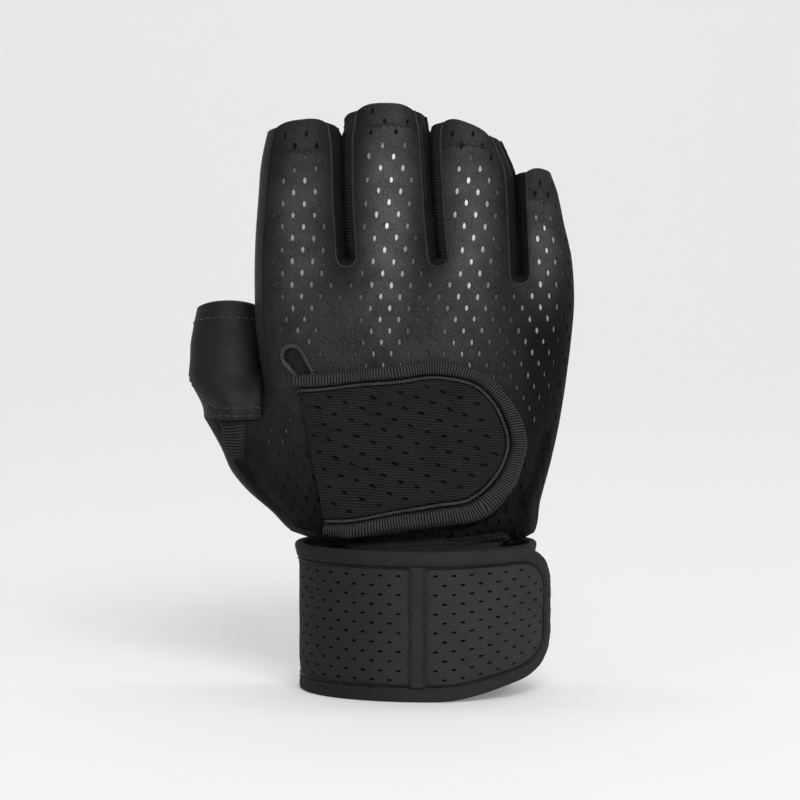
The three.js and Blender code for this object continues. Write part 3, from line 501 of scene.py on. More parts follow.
def gridFaces(rows, columns, around=False, flip=False):  # faces between the rows of a grid
    faces = []
    for i in range(rows - 1):
        for j in range(columns if around else columns - 1):
            k = (j + 1) % columns
            face = [i * columns + j, i * columns + k, (i + 1) * columns + k, (i + 1) * columns + j]
            faces.append(face[::-1] if flip else face)
    return np.array(faces)


def tubeFaces(rows, count, flip=False):  # a tube with its two ends closed
    last = (rows - 1) * count
    ends = [list(range(count))[::-1], list(range(last, last + count))]
    return gridFaces(rows, count, True, flip).tolist() + [end[::-1] if flip else end for end in ends]


def facing(points, faces):  # normals of a surface from its faces
    normals = np.zeros_like(points)
    a, b, c = points[faces[:, 0]], points[faces[:, 1]], points[faces[:, 2]]
    cross = np.cross(b - a, c - a)
    if faces.shape[1] == 4:
        cross += np.cross(c - a, points[faces[:, 3]] - a)
    for k in range(faces.shape[1]):
        np.add.at(normals, faces[:, k], cross)
    return normals / np.maximum(np.linalg.norm(normals, axis=1), 1e-9)[:, None]


def meshOf(name, verts, faces, uv, marks=None, sharp=38):  # a mesh in the frame, with its pattern map
    mesh = bpy.data.meshes.new(name)
    mesh.from_pydata((np.asarray(verts) * 0.001 + shift).tolist(), [], [list(f) for f in faces])
    mesh.validate()
    layer = mesh.uv_layers.new(name="pattern")
    corner = np.empty(len(mesh.loops), np.int32)
    mesh.loops.foreach_get("vertex_index", corner)
    layer.data.foreach_set("uv", np.asarray(uv, np.float32)[corner].ravel())
    for key, values in (marks or {}).items():
        values = np.asarray(values, np.float32)
        kind = "FLOAT_VECTOR" if values.ndim == 2 else "FLOAT"
        layer = mesh.attributes.new(key, kind, "POINT")
        layer.data.foreach_set("vector" if values.ndim == 2 else "value", values.ravel())
    mesh.shade_smooth()
    if sharp:
        mesh.set_sharp_from_angle(angle=math.radians(sharp))
    return mesh


def piece(name, mesh, finish, slotName, *nodes):  # a finished piece of the glove
    obj = bpy.data.objects.new(name, mesh)
    bpy.context.scene.collection.objects.link(obj)
    mesh.materials.clear()
    mesh.materials.append(finish)
    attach(obj, "root")
    if nodes:
        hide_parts(*nodes)
    return obj


def panel(name, surface, faces, heights, uv, finish, slotName, node, marks=None):  # one closed wall
    points, normals = surface
    verts, walls, source = wall(points, normals, faces, *heights)  # heights are top, bottom and roll
    marks = {key: values[source] for key, values in (marks or {}).items()}
    return piece(name, meshOf(name, verts, walls, uv[source], marks), finishes[finish], slotName, node)


def runAlong(path):  # the length of a path up to each of its points
    return np.concatenate([[0], np.cumsum(np.linalg.norm(np.diff(path, axis=0), axis=1))])


def sweep(points, normals, section):  # a bar with one section all along a path
    side = np.cross(np.gradient(points, axis=0), normals)
    side /= np.maximum(np.linalg.norm(side, axis=1), 1e-9)[:, None]
    rows, count = len(points), len(section)
    verts = points[:, None] + side[:, None] * section[None, :, :1] + normals[:, None] * section[None, :, 1:]
    uv = np.column_stack([np.repeat(runAlong(points), count), np.tile(np.linspace(0, 1, count) * 4, rows)])
    return verts.reshape(-1, 3), tubeFaces(rows, count), uv


def ovalSection(width, height, lift, count=8):
    angle = np.linspace(0, 2 * math.pi, count, endpoint=False)
    return np.column_stack([width / 2 * np.cos(angle), lift + height / 2 * np.sin(angle)])


# Node trees for what repeats. Each has named inputs for its sizes, in metres.
class Graph:
    def __init__(self, name, inputs):
        self.tree = bpy.data.node_groups.new(name, "GeometryNodeTree")
        self.tree.interface.new_socket("Geometry", in_out="INPUT", socket_type="NodeSocketGeometry")
        for label, kind, value in inputs:
            socket = self.tree.interface.new_socket(label, in_out="INPUT", socket_type="NodeSocket" + kind)
            if value is not None:
                socket.default_value = value
        self.tree.interface.new_socket("Geometry", in_out="OUTPUT", socket_type="NodeSocketGeometry")
        self.given = self.tree.nodes.new("NodeGroupInput").outputs

    def node(self, kind, settings=None, values=None, output=0):
        node = self.tree.nodes.new(kind)
        for key, value in (settings or {}).items():
            setattr(node, key, value)
        for key, value in (values or {}).items():
            if isinstance(value, bpy.types.NodeSocket):
                self.tree.links.new(value, node.inputs[key])
            else:
                node.inputs[key].default_value = value
        return node.outputs[output]

    def maths(self, operation, first, second=0.0):
        return self.node("ShaderNodeMath", {"operation": operation}, {0: first, 1: second})

    def scaled(self, vector, factor):
        return self.node("ShaderNodeVectorMath", {"operation": "SCALE"}, {0: vector, "Scale": factor})

    def named(self, label, kind="FLOAT"):
        return self.node("GeometryNodeInputNamedAttribute", {"data_type": kind}, {"Name": label})

    def chance(self):  # from -1 to 1, another for each point
        values = {2: -1.0, 3: 1.0, "ID": self.node("GeometryNodeInputIndex"), "Seed": self.given["Seed"]}
        return self.node("FunctionNodeRandomValue", {"data_type": "FLOAT"}, values, 1)

    def spin(self, angle):  # a turn about the piece's own upright
        return self.node(
            "FunctionNodeEulerToRotation", None, {0: self.node("ShaderNodeCombineXYZ", None, {"Z": angle})},
        )

    def moved(self, geometry, offset):
        return self.node("GeometryNodeSetPosition", None, {"Geometry": geometry, "Offset": offset})

    def setOut(self, points, shape, rotation, scale):  # a shape on every point
        return self.node("GeometryNodeInstanceOnPoints", None, {
            "Points": points, "Instance": shape, "Rotation": rotation, "Scale": scale,
        })

    def end(self, geometry):
        placed = self.node("GeometryNodeRealizeInstances", None, {"Geometry": geometry})
        painted = self.node(
            "GeometryNodeSetMaterial", None, {"Geometry": placed, "Material": self.given["Material"]},
        )
        out = self.tree.nodes.new("NodeGroupOutput")
        self.tree.links.new(painted, out.inputs[0])
        return self.tree


def rowTree():  # thread, ribs and strands: small rounded grains set along a path
    graph = Graph("rowAlongPath", [
        ("Spacing", "Float", 0.002), ("Size", "Vector", None), ("Turn", "Float", 0.0),
        ("Alternate", "Float", 0.0), ("Lift", "Float", 0.0), ("Unevenness", "Float", 0.0),
        ("Seed", "Int", 1), ("Material", "Material", None),
    ])
    given = graph.given
    curve = graph.node("GeometryNodeMeshToCurve", None, {"Mesh": given["Geometry"]})
    curve = graph.node(
        "GeometryNodeResampleCurve", {"mode": "LENGTH"}, {"Curve": curve, "Length": given["Spacing"]},
    )
    outward = graph.named("outward", "FLOAT_VECTOR")
    curve = graph.moved(curve, graph.scaled(outward, given["Lift"]))
    tangent = graph.node("GeometryNodeInputTangent")
    across = graph.node("FunctionNodeAlignRotationToVector", {"axis": "Z"}, {"Vector": outward})
    facing = graph.node(
        "FunctionNodeAlignRotationToVector", {"axis": "X", "pivot_axis": "Z"},
        {"Rotation": across, "Vector": tangent},
    )
    odd = graph.maths("MODULO", graph.node("GeometryNodeInputIndex"), 2.0)
    odd = graph.maths("SUBTRACT", graph.maths("MULTIPLY", odd, 2.0), 1.0)  # -1 and 1 by turns
    loose = graph.maths("MULTIPLY", graph.chance(), given["Unevenness"])
    angle = graph.maths("ADD", given["Turn"], loose)
    angle = graph.maths("ADD", angle, graph.maths("MULTIPLY", odd, given["Alternate"]))
    turned = graph.node(
        "FunctionNodeRotateRotation", {"rotation_space": "LOCAL"},
        {"Rotation": facing, "Rotate By": graph.spin(angle)},
    )
    grain = graph.node("GeometryNodeMeshUVSphere", None, {"Segments": 6, "Rings": 5, "Radius": 0.5})
    grain = graph.node("GeometryNodeSetShadeSmooth", None, {0: grain})
    even = graph.maths("ADD", 1.0, graph.maths("MULTIPLY", loose, 0.6))
    return graph.end(graph.setOut(curve, grain, turned, graph.scaled(given["Size"], even)))


def holeTree():  # the outline of each perforation, in the flat pattern
    graph = Graph("perforations", [
        ("Corners", "Int", 10), ("Width", "Float", 0.0014), ("Length", "Float", 0.0024),
        ("Unevenness", "Float", 0.05), ("Seed", "Int", 1), ("Material", "Material", None),
    ])
    given = graph.given
    points = graph.node("GeometryNodeMeshToPoints", None, {"Mesh": given["Geometry"]})
    ring = graph.node("GeometryNodeMeshCircle", None, {"Vertices": given["Corners"], "Radius": 0.5})
    uneven = graph.maths("ADD", 1.0, graph.maths("MULTIPLY", graph.chance(), given["Unevenness"]))
    wide = graph.maths("MULTIPLY", graph.maths("MULTIPLY", given["Width"], graph.named("narrow")), uneven)
    long = graph.maths("MULTIPLY", given["Length"], uneven)
    scale = graph.node("ShaderNodeCombineXYZ", None, {"X": wide, "Y": long, "Z": 1.0})
    return graph.end(graph.setOut(points, ring, graph.spin(graph.named("turn")), scale))


def ribTree():  # ridges across a band, by the length along it
    graph = Graph("ribs", [
        ("Pitch", "Float", 0.9), ("Height", "Float", 0.0003), ("Sharpness", "Float", 0.7),
        ("Material", "Material", None),
    ])
    given = graph.given
    phase = graph.maths("MULTIPLY", graph.maths("DIVIDE", graph.named("along"), given["Pitch"]), 2 * math.pi)
    wave = graph.maths("ADD", graph.maths("MULTIPLY", graph.maths("COSINE", phase), 0.4999), 0.5)
    wave = graph.maths("POWER", wave, given["Sharpness"])
    height = graph.maths("MULTIPLY", graph.maths("MULTIPLY", wave, graph.named("ribbed")), given["Height"])
    outward = graph.named("outward", "FLOAT_VECTOR")
    return graph.end(graph.moved(given["Geometry"], graph.scaled(outward, height)))


def grown(name, mesh, tree, **sizes):  # runs a tree on a mesh and gives the plain mesh back
    obj = bpy.data.objects.new(name, mesh)
    bpy.context.scene.collection.objects.link(obj)
    modifier = obj.modifiers.new("grow", "NODES")
    modifier.node_group = tree
    for item in tree.interface.items_tree:
        if item.in_out == "INPUT" and item.name in sizes:
            modifier[item.identifier] = sizes[item.name]
    graph = bpy.context.evaluated_depsgraph_get()
    result = bpy.data.meshes.new_from_object(
        obj.evaluated_get(graph), preserve_all_data_layers=True, depsgraph=graph,
    )
    obj.modifiers.remove(modifier)
    bpy.data.objects.remove(obj)
    result.name = name
    return result


rows, perforations, ribs = rowTree(), holeTree(), ribTree()


def pathMesh(name, paths):  # paths as (points, normals), joined into one mesh of edges
    verts, edges, outward = [], [], []
    for points, normals in paths:
        first = len(verts)
        verts.extend(np.asarray(points).tolist())
        outward.extend(np.asarray(normals).tolist())
        edges.extend((first + i, first + i + 1) for i in range(len(points) - 1))
    mesh = bpy.data.meshes.new(name)
    mesh.from_pydata((np.array(verts) * 0.001 + shift).tolist(), edges, [])
    layer = mesh.attributes.new("outward", "FLOAT_VECTOR", "POINT")
    layer.data.foreach_set("vector", np.array(outward, np.float32).ravel())
    return mesh


def threads(name, paths, style, finish, slotName, *nodes):  # stitches along paths
    mesh = grown(
        name, pathMesh(name + "Path", paths), rows,
        Spacing=style["spacing"] * 0.001, Size=[v * 0.001 for v in style["size"]],
        Turn=style.get("turn", 0.0), Alternate=style.get("alternate", 0.0),
        Lift=style.get("lift", 0.0) * 0.001, Unevenness=style.get("unevenness", 0.08),
        Seed=3, Material=finish,
    )
    return piece(name, mesh, finish, slotName, *nodes)


def holeOutlines(centres, narrow, turn, style):  # loops of points in the flat pattern
    mesh = bpy.data.meshes.new("holePoints")
    mesh.from_pydata([(x * 0.001, z * 0.001, 0.0) for x, z in centres], [], [])
    for key, values in (("narrow", narrow), ("turn", turn)):
        mesh.attributes.new(key, "FLOAT", "POINT").data.foreach_set("value", np.asarray(values, np.float32))
    made = grown(
        "holes", mesh, perforations, Corners=style["corners"], Width=style["width"] * 0.001,
        Length=style["length"] * 0.001, Unevenness=style["unevenness"], Seed=style["seed"],
    )
    flat = np.array([(v.co.x, v.co.y) for v in made.vertices]) * 1000
    return list(flat.reshape(-1, style["corners"], 2))


def ribbed(name, verts, faces, uv, outward, amount, style, finish):  # ribs by the map's first number
    mesh = meshOf(name, verts, faces, uv, {"outward": outward, "along": uv[:, 0], "ribbed": amount}, sharp=0)
    return grown(
        name, mesh, ribs, Pitch=style["pitch"], Height=style["height"] * 0.001,
        Sharpness=style.get("sharpness", 0.7), Material=finish,
    )


# Finishes. Sizes in the patterns are millimetres, read from each piece's own pattern map.
class Wire:  # a socket that can be reckoned with
    def __init__(self, finish, socket):
        self.finish, self.socket = finish, socket

    def maths(self, operation, first, second=0.0):
        return self.finish.node("ShaderNodeMath", {"operation": operation}, {0: first, 1: second})

    def __add__(self, other):
        return self.maths("ADD", self, other)

    def __sub__(self, other):
        return self.maths("SUBTRACT", self, other)

    def __rsub__(self, other):
        return self.maths("SUBTRACT", other, self)

    def __mul__(self, other):
        return self.maths("MULTIPLY", self, other)

    def __pow__(self, other):
        return self.maths("POWER", self, other)

    __radd__, __rmul__ = __add__, __mul__


class Finish:
    def __init__(self, name, **constants):
        self.material = bpy.data.materials.new(name)
        self.material.use_nodes = True
        self.tree = self.material.node_tree
        self.shader = self.tree.nodes["Principled BSDF"]
        labels = {
            "sheenWeight": "Sheen Weight", "sheenRoughness": "Sheen Roughness",
            "specular": "Specular IOR Level", "glow": "Emission Strength",
        }
        for key, value in constants.items():
            self.shader.inputs[labels[key]].default_value = value

    def node(self, kind, settings=None, values=None, output=0):
        node = self.tree.nodes.new(kind)
        for key, value in (settings or {}).items():
            setattr(node, key, value)
        for key, value in (values or {}).items():
            if isinstance(value, Wire):
                self.tree.links.new(value.socket, node.inputs[key])
            else:
                node.inputs[key].default_value = value
        return Wire(self, node.outputs[output])

    def pattern(self):  # the pattern map as two numbers, in millimetres
        uv = self.node("ShaderNodeUVMap", {"uv_map": "pattern"})
        parts = self.node("ShaderNodeSeparateXYZ", None, {0: uv})
        return parts, Wire(self, parts.socket.node.outputs[1])

    def wave(self, phase, pitch):  # 0 to 1
        angle = phase * (2 * math.pi / pitch)
        return self.node("ShaderNodeMath", {"operation": "SINE"}, {0: angle}) * 0.5 + 0.5

    def mark(self, name):  # a number that the piece's own mesh carries
        return self.node("ShaderNodeAttribute", {"attribute_name": name}, None, 2)

    def noise(self, size, detail=3.0, roughness=0.5, stretch=(1.0, 1.0, 1.0)):  # size in millimetres
        place = self.node("ShaderNodeTexCoord", None, None, 3)
        place = self.node("ShaderNodeMapping", None, {"Vector": place, "Scale": stretch})
        return self.node(
            "ShaderNodeTexNoise", None,
            {"Vector": place, "Scale": 1000.0 / size, "Detail": detail, "Roughness": roughness},
        )

    def grain(self, size):
        place = self.node("ShaderNodeTexCoord", None, None, 3)
        place = {"Vector": place, "Scale": 1000.0 / size}
        return self.node("ShaderNodeTexVoronoi", {"feature": "SMOOTH_F1"}, place)

    def between(self, dark, light, share):
        return self.node("ShaderNodeMix", {"data_type": "RGBA"}, {0: share, 6: (*dark, 1), 7: (*light, 1)}, 2)

    def limit(self, value, low, high):
        return self.node(
            "ShaderNodeMapRange", {"clamp": True}, {"Value": value, "From Min": low, "From Max": high}
        )

    def surface(self, colour, rough, height, depth):
        self.tree.links.new(colour.socket, self.shader.inputs["Base Color"])
        if isinstance(rough, Wire):
            self.tree.links.new(rough.socket, self.shader.inputs["Roughness"])
        else:
            self.shader.inputs["Roughness"].default_value = rough
        bump = self.node("ShaderNodeBump", None, {"Height": height, "Distance": depth, "Strength": 1.0})
        self.tree.links.new(bump.socket, self.shader.inputs["Normal"])
        return self.material

    def made(self, look, share, rough, height):  # from the look's dark to its light by share
        return self.surface(self.between(look["dark"], look["light"], share), rough, height, look["depth"])


def knitFinish(name, look):  # elastic knit with fine slanting rows of loops, its tone scaled by painted highlight and shade
    cloth = Finish(name, sheenWeight=look["sheen"], sheenRoughness=0.4, specular=0.08)
    u, z = cloth.pattern()
    rise = cloth.wave(u * 0.87 + z * 0.5, look["pitch"])
    fall = cloth.wave(u * 0.87 - z * 0.5, look["pitch"])
    loops = rise * 0.6 + fall * 0.4
    fuzz = cloth.noise(0.7, 4.0, 0.75)
    worn = cloth.noise(9.0, 4.0, 0.6)
    # painted highlight and shade: the piece's mark scales the knit's tone
    tone = cloth.limit(loops * 0.25 + fuzz * 0.8 + worn * 0.55, 0.45, 1.15) * cloth.mark("stretch")
    return cloth.made(look, tone, 0.58 + worn * 0.3, loops * 0.5 + fuzz * 0.6)


def rowKnitFinish(name, look):  # short loops in level rows, each row half a loop aside of the next
    cloth = Finish(name, sheenWeight=look["sheen"], sheenRoughness=0.4, specular=0.08)
    u, z = cloth.pattern()
    row = cloth.wave(z + u * 0.06, look["row"])
    loop = cloth.wave(u + z * (look["loop"] * 0.5 / look["row"]), look["loop"])
    fuzz = cloth.noise(0.5, 3.0, 0.65)
    worn = cloth.noise(7.0, 3.0)
    loops = row**1.4 * (loop * 0.75 + 0.25)
    tone = cloth.limit(loops * 0.85 + fuzz * 0.3 + worn * 0.3, 0.25, 1.1)
    return cloth.made(look, tone, 0.7 + fuzz * 0.15, loops * 0.8 + fuzz * 0.3)


def leatherFinish(name, look):  # grain and creases, with soft wear
    hide = Finish(name, sheenWeight=0.02, sheenRoughness=0.4, specular=look["gloss"])
    small = hide.noise(0.45, 3.0)
    creases = hide.noise(5.0, 5.0, 0.62, (1.0, 1.0, 0.6))
    worn = hide.limit(hide.noise(9.0, 5.0, 0.6), 0.52, 0.78)
    tone = hide.limit(small * 0.25 + creases * 0.35 + worn * 0.5, 0.1, 1.0)
    height = 0.5 - hide.grain(look["grain"]) * 0.55 + small * 0.18 + creases * 0.5
    rough = hide.limit(creases * 0.5 + small * 0.3 + worn * 0.35, 0.0, 1.0) * 0.34 + look["rough"]
    if look.get("marked"):  # painted shade: dark towards the seams, and duller there
        mark = hide.mark("stretch")
        tone, rough = tone * mark, rough + (1 - mark) * 0.3
    return hide.made(look, tone, rough, height)


def elasticFinish(name, look):  # warp threads along, and a painted highlight on the crest of each rib
    cloth = Finish(name, sheenWeight=look["sheen"], sheenRoughness=0.5, specular=0.1)
    along, across = cloth.pattern()
    ribCrestHighlight = cloth.wave(along + look["pitch"] / 4, look["pitch"])  # painted highlight on the crest of each rib
    warp = cloth.wave(across, 0.42) * 0.35 + 0.65
    fuzz = cloth.noise(0.5, 4.0, 0.6)
    broad = cloth.noise(7.0, 2.0)
    rib = ribCrestHighlight**1.5 * cloth.mark("ribbed") * look["ribs"] + (1 - look["ribs"]) * 0.4
    tone = cloth.limit(rib * warp * 0.85 + fuzz * 0.3 + broad * 0.2, 0.2, 1.1)
    return cloth.made(look, tone, 0.62 + fuzz * 0.25, warp * 0.5 + fuzz * 0.5)


def twillFinish(name, look):  # slanting ridges of a brushed twill, crossed by fine threads
    cloth = Finish(name, sheenWeight=look["sheen"], sheenRoughness=0.5, specular=0.1)
    u, z = cloth.pattern()
    ridge = cloth.wave(u * 0.6 + z * 0.8, look["pitch"])
    thread = cloth.wave(u * 0.8 - z * 0.6, look["pitch"] * 0.55)
    fuzz = cloth.noise(0.6, 4.0, 0.65)
    broad = cloth.noise(11.0, 3.0)
    tone = cloth.limit(ridge * 0.42 + thread * 0.16 + fuzz * 0.36 + broad * 0.3, 0.25, 0.98)
    height = ridge * 0.5 + thread * 0.2 + fuzz * 0.5
    # painted light and shade: the piece's mark scales the twill's tone
    return cloth.made(look, tone * cloth.mark("stretch"), 0.68 + fuzz * 0.2, height)


def liningFinish(name, look):  # satin, light where the piece's own mark says so: partly its own colour, partly painted highlight
    satin = Finish(name, sheenWeight=0.1, sheenRoughness=0.4, specular=0.4)
    u, z = satin.pattern()
    share = satin.mark("paleAndHighlight") * (0.8 + satin.noise(6.0, 2.0) * 0.35)
    return satin.made(look, share, 0.45, satin.wave(u, 0.35) * satin.wave(z, 0.5))


def threadFinish(name, look):
    thread = Finish(name, sheenWeight=0.08, sheenRoughness=0.4, specular=look["gloss"])
    ply = thread.noise(0.3, 2.0, 0.5, (1.0, 1.0, 2.0))
    tone = thread.limit(ply * 0.6 + thread.noise(4.0, 2.0) * 0.4, 0.3, 0.75)
    return thread.made(look, tone, 0.5, ply)


def grey(dark, light, **more):  # a cool black, from its darkest to its lightest
    return {"dark": (dark * 0.99, dark, dark * 1.04), "light": (light * 0.99, light, light * 1.03), **more}


def threadLook(dark, light, gloss=0.35):
    return grey(dark, light, gloss=gloss, depth=0.00006)


finishes = {
    "mesh": knitFinish("perforatedKnit", grey(0.003, 0.145, pitch=0.7, depth=0.00014, sheen=0.01)),
    "strapKnit": rowKnitFinish(
        "strapKnit", grey(0.005, 0.034, row=0.83, loop=0.42, depth=0.00022, sheen=0.03),
    ),
    "leather": leatherFinish(
        "smoothLeather", grey(0.006, 0.015, grain=0.9, gloss=0.26, rough=0.46, depth=0.0001),
    ),
    "palmLeather": leatherFinish(
        "palmLeather", grey(0.009, 0.05, grain=1.2, gloss=0.24, rough=0.5, depth=0.00026, marked=True),
    ),
    "elastic": elasticFinish(
        "ribbedElastic", grey(0.004, 0.075, pitch=0.86, ribs=1.0, depth=0.00012, sheen=0.03),
    ),
    "gusset": elasticFinish(
        "gussetCloth", grey(0.004, 0.05, pitch=0.95, ribs=0.85, depth=0.00008, sheen=0.01),
    ),
    "wrap": twillFinish("wrapTwill", grey(0.014, 0.056, pitch=0.62, depth=0.00018, sheen=0.02)),
    "wrapEdge": twillFinish("wrapBinding", grey(0.013, 0.04, pitch=0.55, depth=0.00012, sheen=0.02)),
    "lining": liningFinish(
        "satinBacking", {"dark": (0.008, 0.008, 0.009), "light": (0.9, 0.9, 0.9), "depth": 0.00004},
    ),
    "thread": threadFinish("sewingThread", threadLook(0.008, 0.04, 0.2)),
    "seamCord": threadFinish("seamCord", threadLook(0.003, 0.016, 0.08)),
    "darkThread": threadFinish("darkThread", threadLook(0.002, 0.008)),
    "edging": threadFinish("edgingThread", threadLook(0.03, 0.14)),
    "welt": threadFinish("weltCord", threadLook(0.02, 0.075)),
}
print("finishes made")


# Outlines of the hand's flat patterns.
def slotU(slot, inset, steps=14):  # down the left of a slot, round its bottom and up again
    bottom = slotBottoms[slot]
    centre = slots[slot]["out"][0]
    down = np.linspace(fingerEnds[slot][1], bottom, 50)
    up = np.linspace(bottom, fingerEnds[slot + 1][0], 50)
    reach = max(0.2, slots[slot]["gap"][0]) + inset
    angle = np.linspace(-math.pi / 2, math.pi / 2, steps)[1:-1]
    return np.concatenate([
        np.column_stack([slotX(slot, -1, down) - inset, down]),
        np.column_stack([centre + reach * np.sin(angle), bottom - reach * np.cos(angle)]),
        np.column_stack([slotX(slot, 1, up) + inset, up]),
    ])


def mouth(left, right, bulge, count=18):  # the end of a finger stall, flat with its corners dropped
    t = (0.5 - 0.5 * np.cos(np.linspace(0, math.pi, count)))[1:-1]
    rise = bulge * (1 - (2 * t - 1) ** 4)
    return np.column_stack([left[0] + (right[0] - left[0]) * t, left[1] + (right[1] - left[1]) * t + rise])


mouthArch = [1.1, 1.6, 1.5, 1.8]


def handOutline(side, inset, lower=0.0):  # the flat pattern of the back or the palm, its ends lowered
    bottom, cut = hand["sleeveBottom"], hand["thumbCut"]
    z = np.linspace(bottom, cut, 50)
    if side < 0:
        left = np.column_stack([thumbX(z) + inset * slant(thumbX, z), z])
    else:
        left = np.column_stack([palmSeamU(z, hand["seamInset"] - hand["seamGap"] / 2), z])
    angle = np.linspace(0, math.pi / 2, 6)
    turn = np.column_stack([crotch[0] + inset * np.sin(angle), crotch[1] - inset * np.cos(angle)])
    turn = turn[turn[:, 1] > cut + 0.1]
    parts = [left, [(crotch[0] + 0.3, cut)], turn]
    z = np.linspace(crotch[1], fingerEnds[0][0] - lower, 80)[1:]
    parts.append(np.column_stack([indexX(z) + inset, z]))
    for finger in range(4):
        start = parts[-1][-1]
        if finger < 3:
            path = slotU(finger, inset)
            tops = fingerEnds[finger][1] - lower, fingerEnds[finger + 1][0] - lower
            falling = np.arange(len(path)) < len(path) // 2
            path = path[np.where(falling, path[:, 1] <= tops[0], path[:, 1] <= tops[1])]
            first = [[slotX(finger, -1, tops[0]) - inset, tops[0]]]
            last = [[slotX(finger, 1, tops[1]) + inset, tops[1]]]
            path = np.concatenate([first, path, last])
            parts.append(mouth(start, path[0], mouthArch[finger]))
            parts.append(path)
        else:
            top = fingerEnds[3][1] - lower
            z = np.linspace(top, bottom, 150)
            if side < 0:
                right = np.column_stack([backSeamU(z, hand["seamInset"] - hand["seamGap"] / 2), z])
            else:
                right = np.column_stack([littleX(z) - inset * slant(littleX, z), z])
            parts.append(mouth(start, right[0], mouthArch[finger]))
            parts.append(right)
    path = np.concatenate([np.asarray(p, float) for p in parts])
    keep = np.linalg.norm(path - np.roll(path, 1, axis=0), axis=1) > 0.05
    return path[keep]


panelInset = hand["seamInset"] + hand["seamGap"] / 2
back = {
    "thickness": 0.62, "spacing": 1.7,
    "rowSpacing": 3.56, "columnPitch": 6.15,
    "hole": {"width": 1.55, "length": 2.4, "corners": 12, "unevenness": 0.06, "seed": 11},
    "slit": 0.62,  # how narrow the holes get towards the wrist
    "hemDepth": 7.2,
    "hems": (171.2, 178.6, 173.0, 157.2),  # the height of each finger's row of hem stitches
    "fingers": (-39.8, -12.2, 13.6, 37.0),  # the middle of each finger
    "fingerHalf": 13.2,
}
strapOutline = np.array([
    (-0.391, 0.546), (-0.250, 0.552), (-0.100, 0.561), (0.037, 0.570), (0.168, 0.551), (0.250, 0.508),
    (0.284, 0.453), (0.278, 0.408), (0.239, 0.360), (0.152, 0.315), (0.040, 0.301), (-0.120, 0.288),
    (-0.302, 0.275),
]) * (glove["width"], glove["height"])
eyelet = {"x": -42.0, "z": 107.9, "radius": 2.75, "tipX": -38.0, "tipZ": 102.4, "tipRadius": 1.9}


def centripetal(points, count=24):  # the smooth curve through the strap's outline
    first, last = 2 * points[0] - points[1], 2 * points[-1] - points[-2]
    knots = np.concatenate([[first], points, [last]])
    result = []
    for i in range(len(points) - 1):
        p = knots[i : i + 4]
        t = np.concatenate([[0], np.cumsum(np.linalg.norm(np.diff(p, axis=0), axis=1) ** 0.5)])
        u = np.linspace(t[1], t[2], count, endpoint=False)[:, None]

        def mix(low, high, first, second):
            return (t[high] - u) / (t[high] - t[low]) * first + (u - t[low]) / (t[high] - t[low]) * second

        a = [mix(k, k + 1, p[k], p[k + 1]) for k in range(3)]
        b = [mix(k, k + 2, a[k], a[k + 1]) for k in range(2)]
        result.append(mix(1, 2, b[0], b[1]))
    return np.concatenate(result + [points[-1:]])


def resample(path, spacing):  # points evenly spaced along a path, and how far along each is
    run = runAlong(path)
    count = max(2, int(round(run[-1] / spacing)) + 1)
    at = np.linspace(0, run[-1], count)
    return np.column_stack([np.interp(at, run, path[:, k]) for k in range(path.shape[1])]), at


strapPath, _ = resample(centripetal(strapOutline), 0.25)


def inward(path):  # unit vectors to the right-hand side of a path
    run = np.gradient(path, axis=0)
    run /= np.linalg.norm(run, axis=1)[:, None]
    return np.column_stack([run[:, 1], -run[:, 0]])


def strapLift(x, z):  # the strap climbs from its seam onto its base
    (x0, z0), (x1, z1) = strapOutline[-1], strapOutline[0]
    seamX = x0 + (x1 - x0) * (z - z0) / (z1 - z0)
    full = 1.6 + 2 * hand["layerGap"]
    return hand["layerGap"] + (full - hand["layerGap"]) * smooth(1, 11, x - seamX)


def eyeletLoop(grow, count=24):  # the teardrop round its two circles, made wider by grow
    dx, dz = eyelet["tipX"] - eyelet["x"], eyelet["tipZ"] - eyelet["z"]
    reach, heading = math.hypot(dx, dz), math.atan2(dz, dx)
    opening = math.acos((eyelet["radius"] - eyelet["tipRadius"]) / reach)
    loops = []
    for x, z, radius, first, turn in (
        (eyelet["x"], eyelet["z"], eyelet["radius"], opening, 2 * math.pi - 2 * opening),
        (eyelet["tipX"], eyelet["tipZ"], eyelet["tipRadius"], -opening, 2 * opening),
    ):
        angle = heading + first + turn * np.linspace(0, 1, count)
        wide = radius + grow
        loops.append(np.column_stack([x + wide * np.cos(angle), z + wide * np.sin(angle)]))
    return np.concatenate(loops)


def overFingers(x, z, widths, most):  # highest over the middle of each finger
    high = np.zeros(len(x))
    for centre, width, top in zip(back["fingers"], widths, most):
        middle = centre + np.interp(z, [110, 180], [-0.5, 0.8])
        high = np.maximum(high, top * np.exp(-(((x - middle) / width) ** 2)))
    return high


# How wide and how strong the painted highlight is down each finger.
stretchLook = {"width": (8.0, 7.5, 8.0, 7.5), "most": (0.62, 1.0, 0.82, 0.72)}


def stretchAt(x, z):  # painted light and shade: lightest down the middle of each finger, darker at the sides and towards the wrist
    high = 0.1 + 0.9 * overFingers(x, z, stretchLook["width"], stretchLook["most"])
    # the painted highlight dims towards each finger's hem, and again on the hem band
    for centre, hem in zip(back["fingers"], back["hems"]):
        dim = (1 - 0.34 * smooth(hem - 16, hem - 1, z)) * (1 - 0.26 * smooth(hem - 0.6, hem + 0.8, z))
        high = np.where(np.abs(x - centre) < 13, high * dim, high)
    # painted shade: darker towards both outer sides, and below the knuckles towards the wrist
    palm = np.interp(x, [-60, -48, -36, -20, 10, 24, 34, 44], [0.12, 0.26, 0.34, 0.44, 0.47, 0.28, 0.05, 0.0])
    wrist = palm * np.interp(z, [48, 62, 80, 100], [0.03, 0.14, 0.5, 1.0])
    share = smooth(112, 145, z)
    return wrist * (1 - share) + high * share


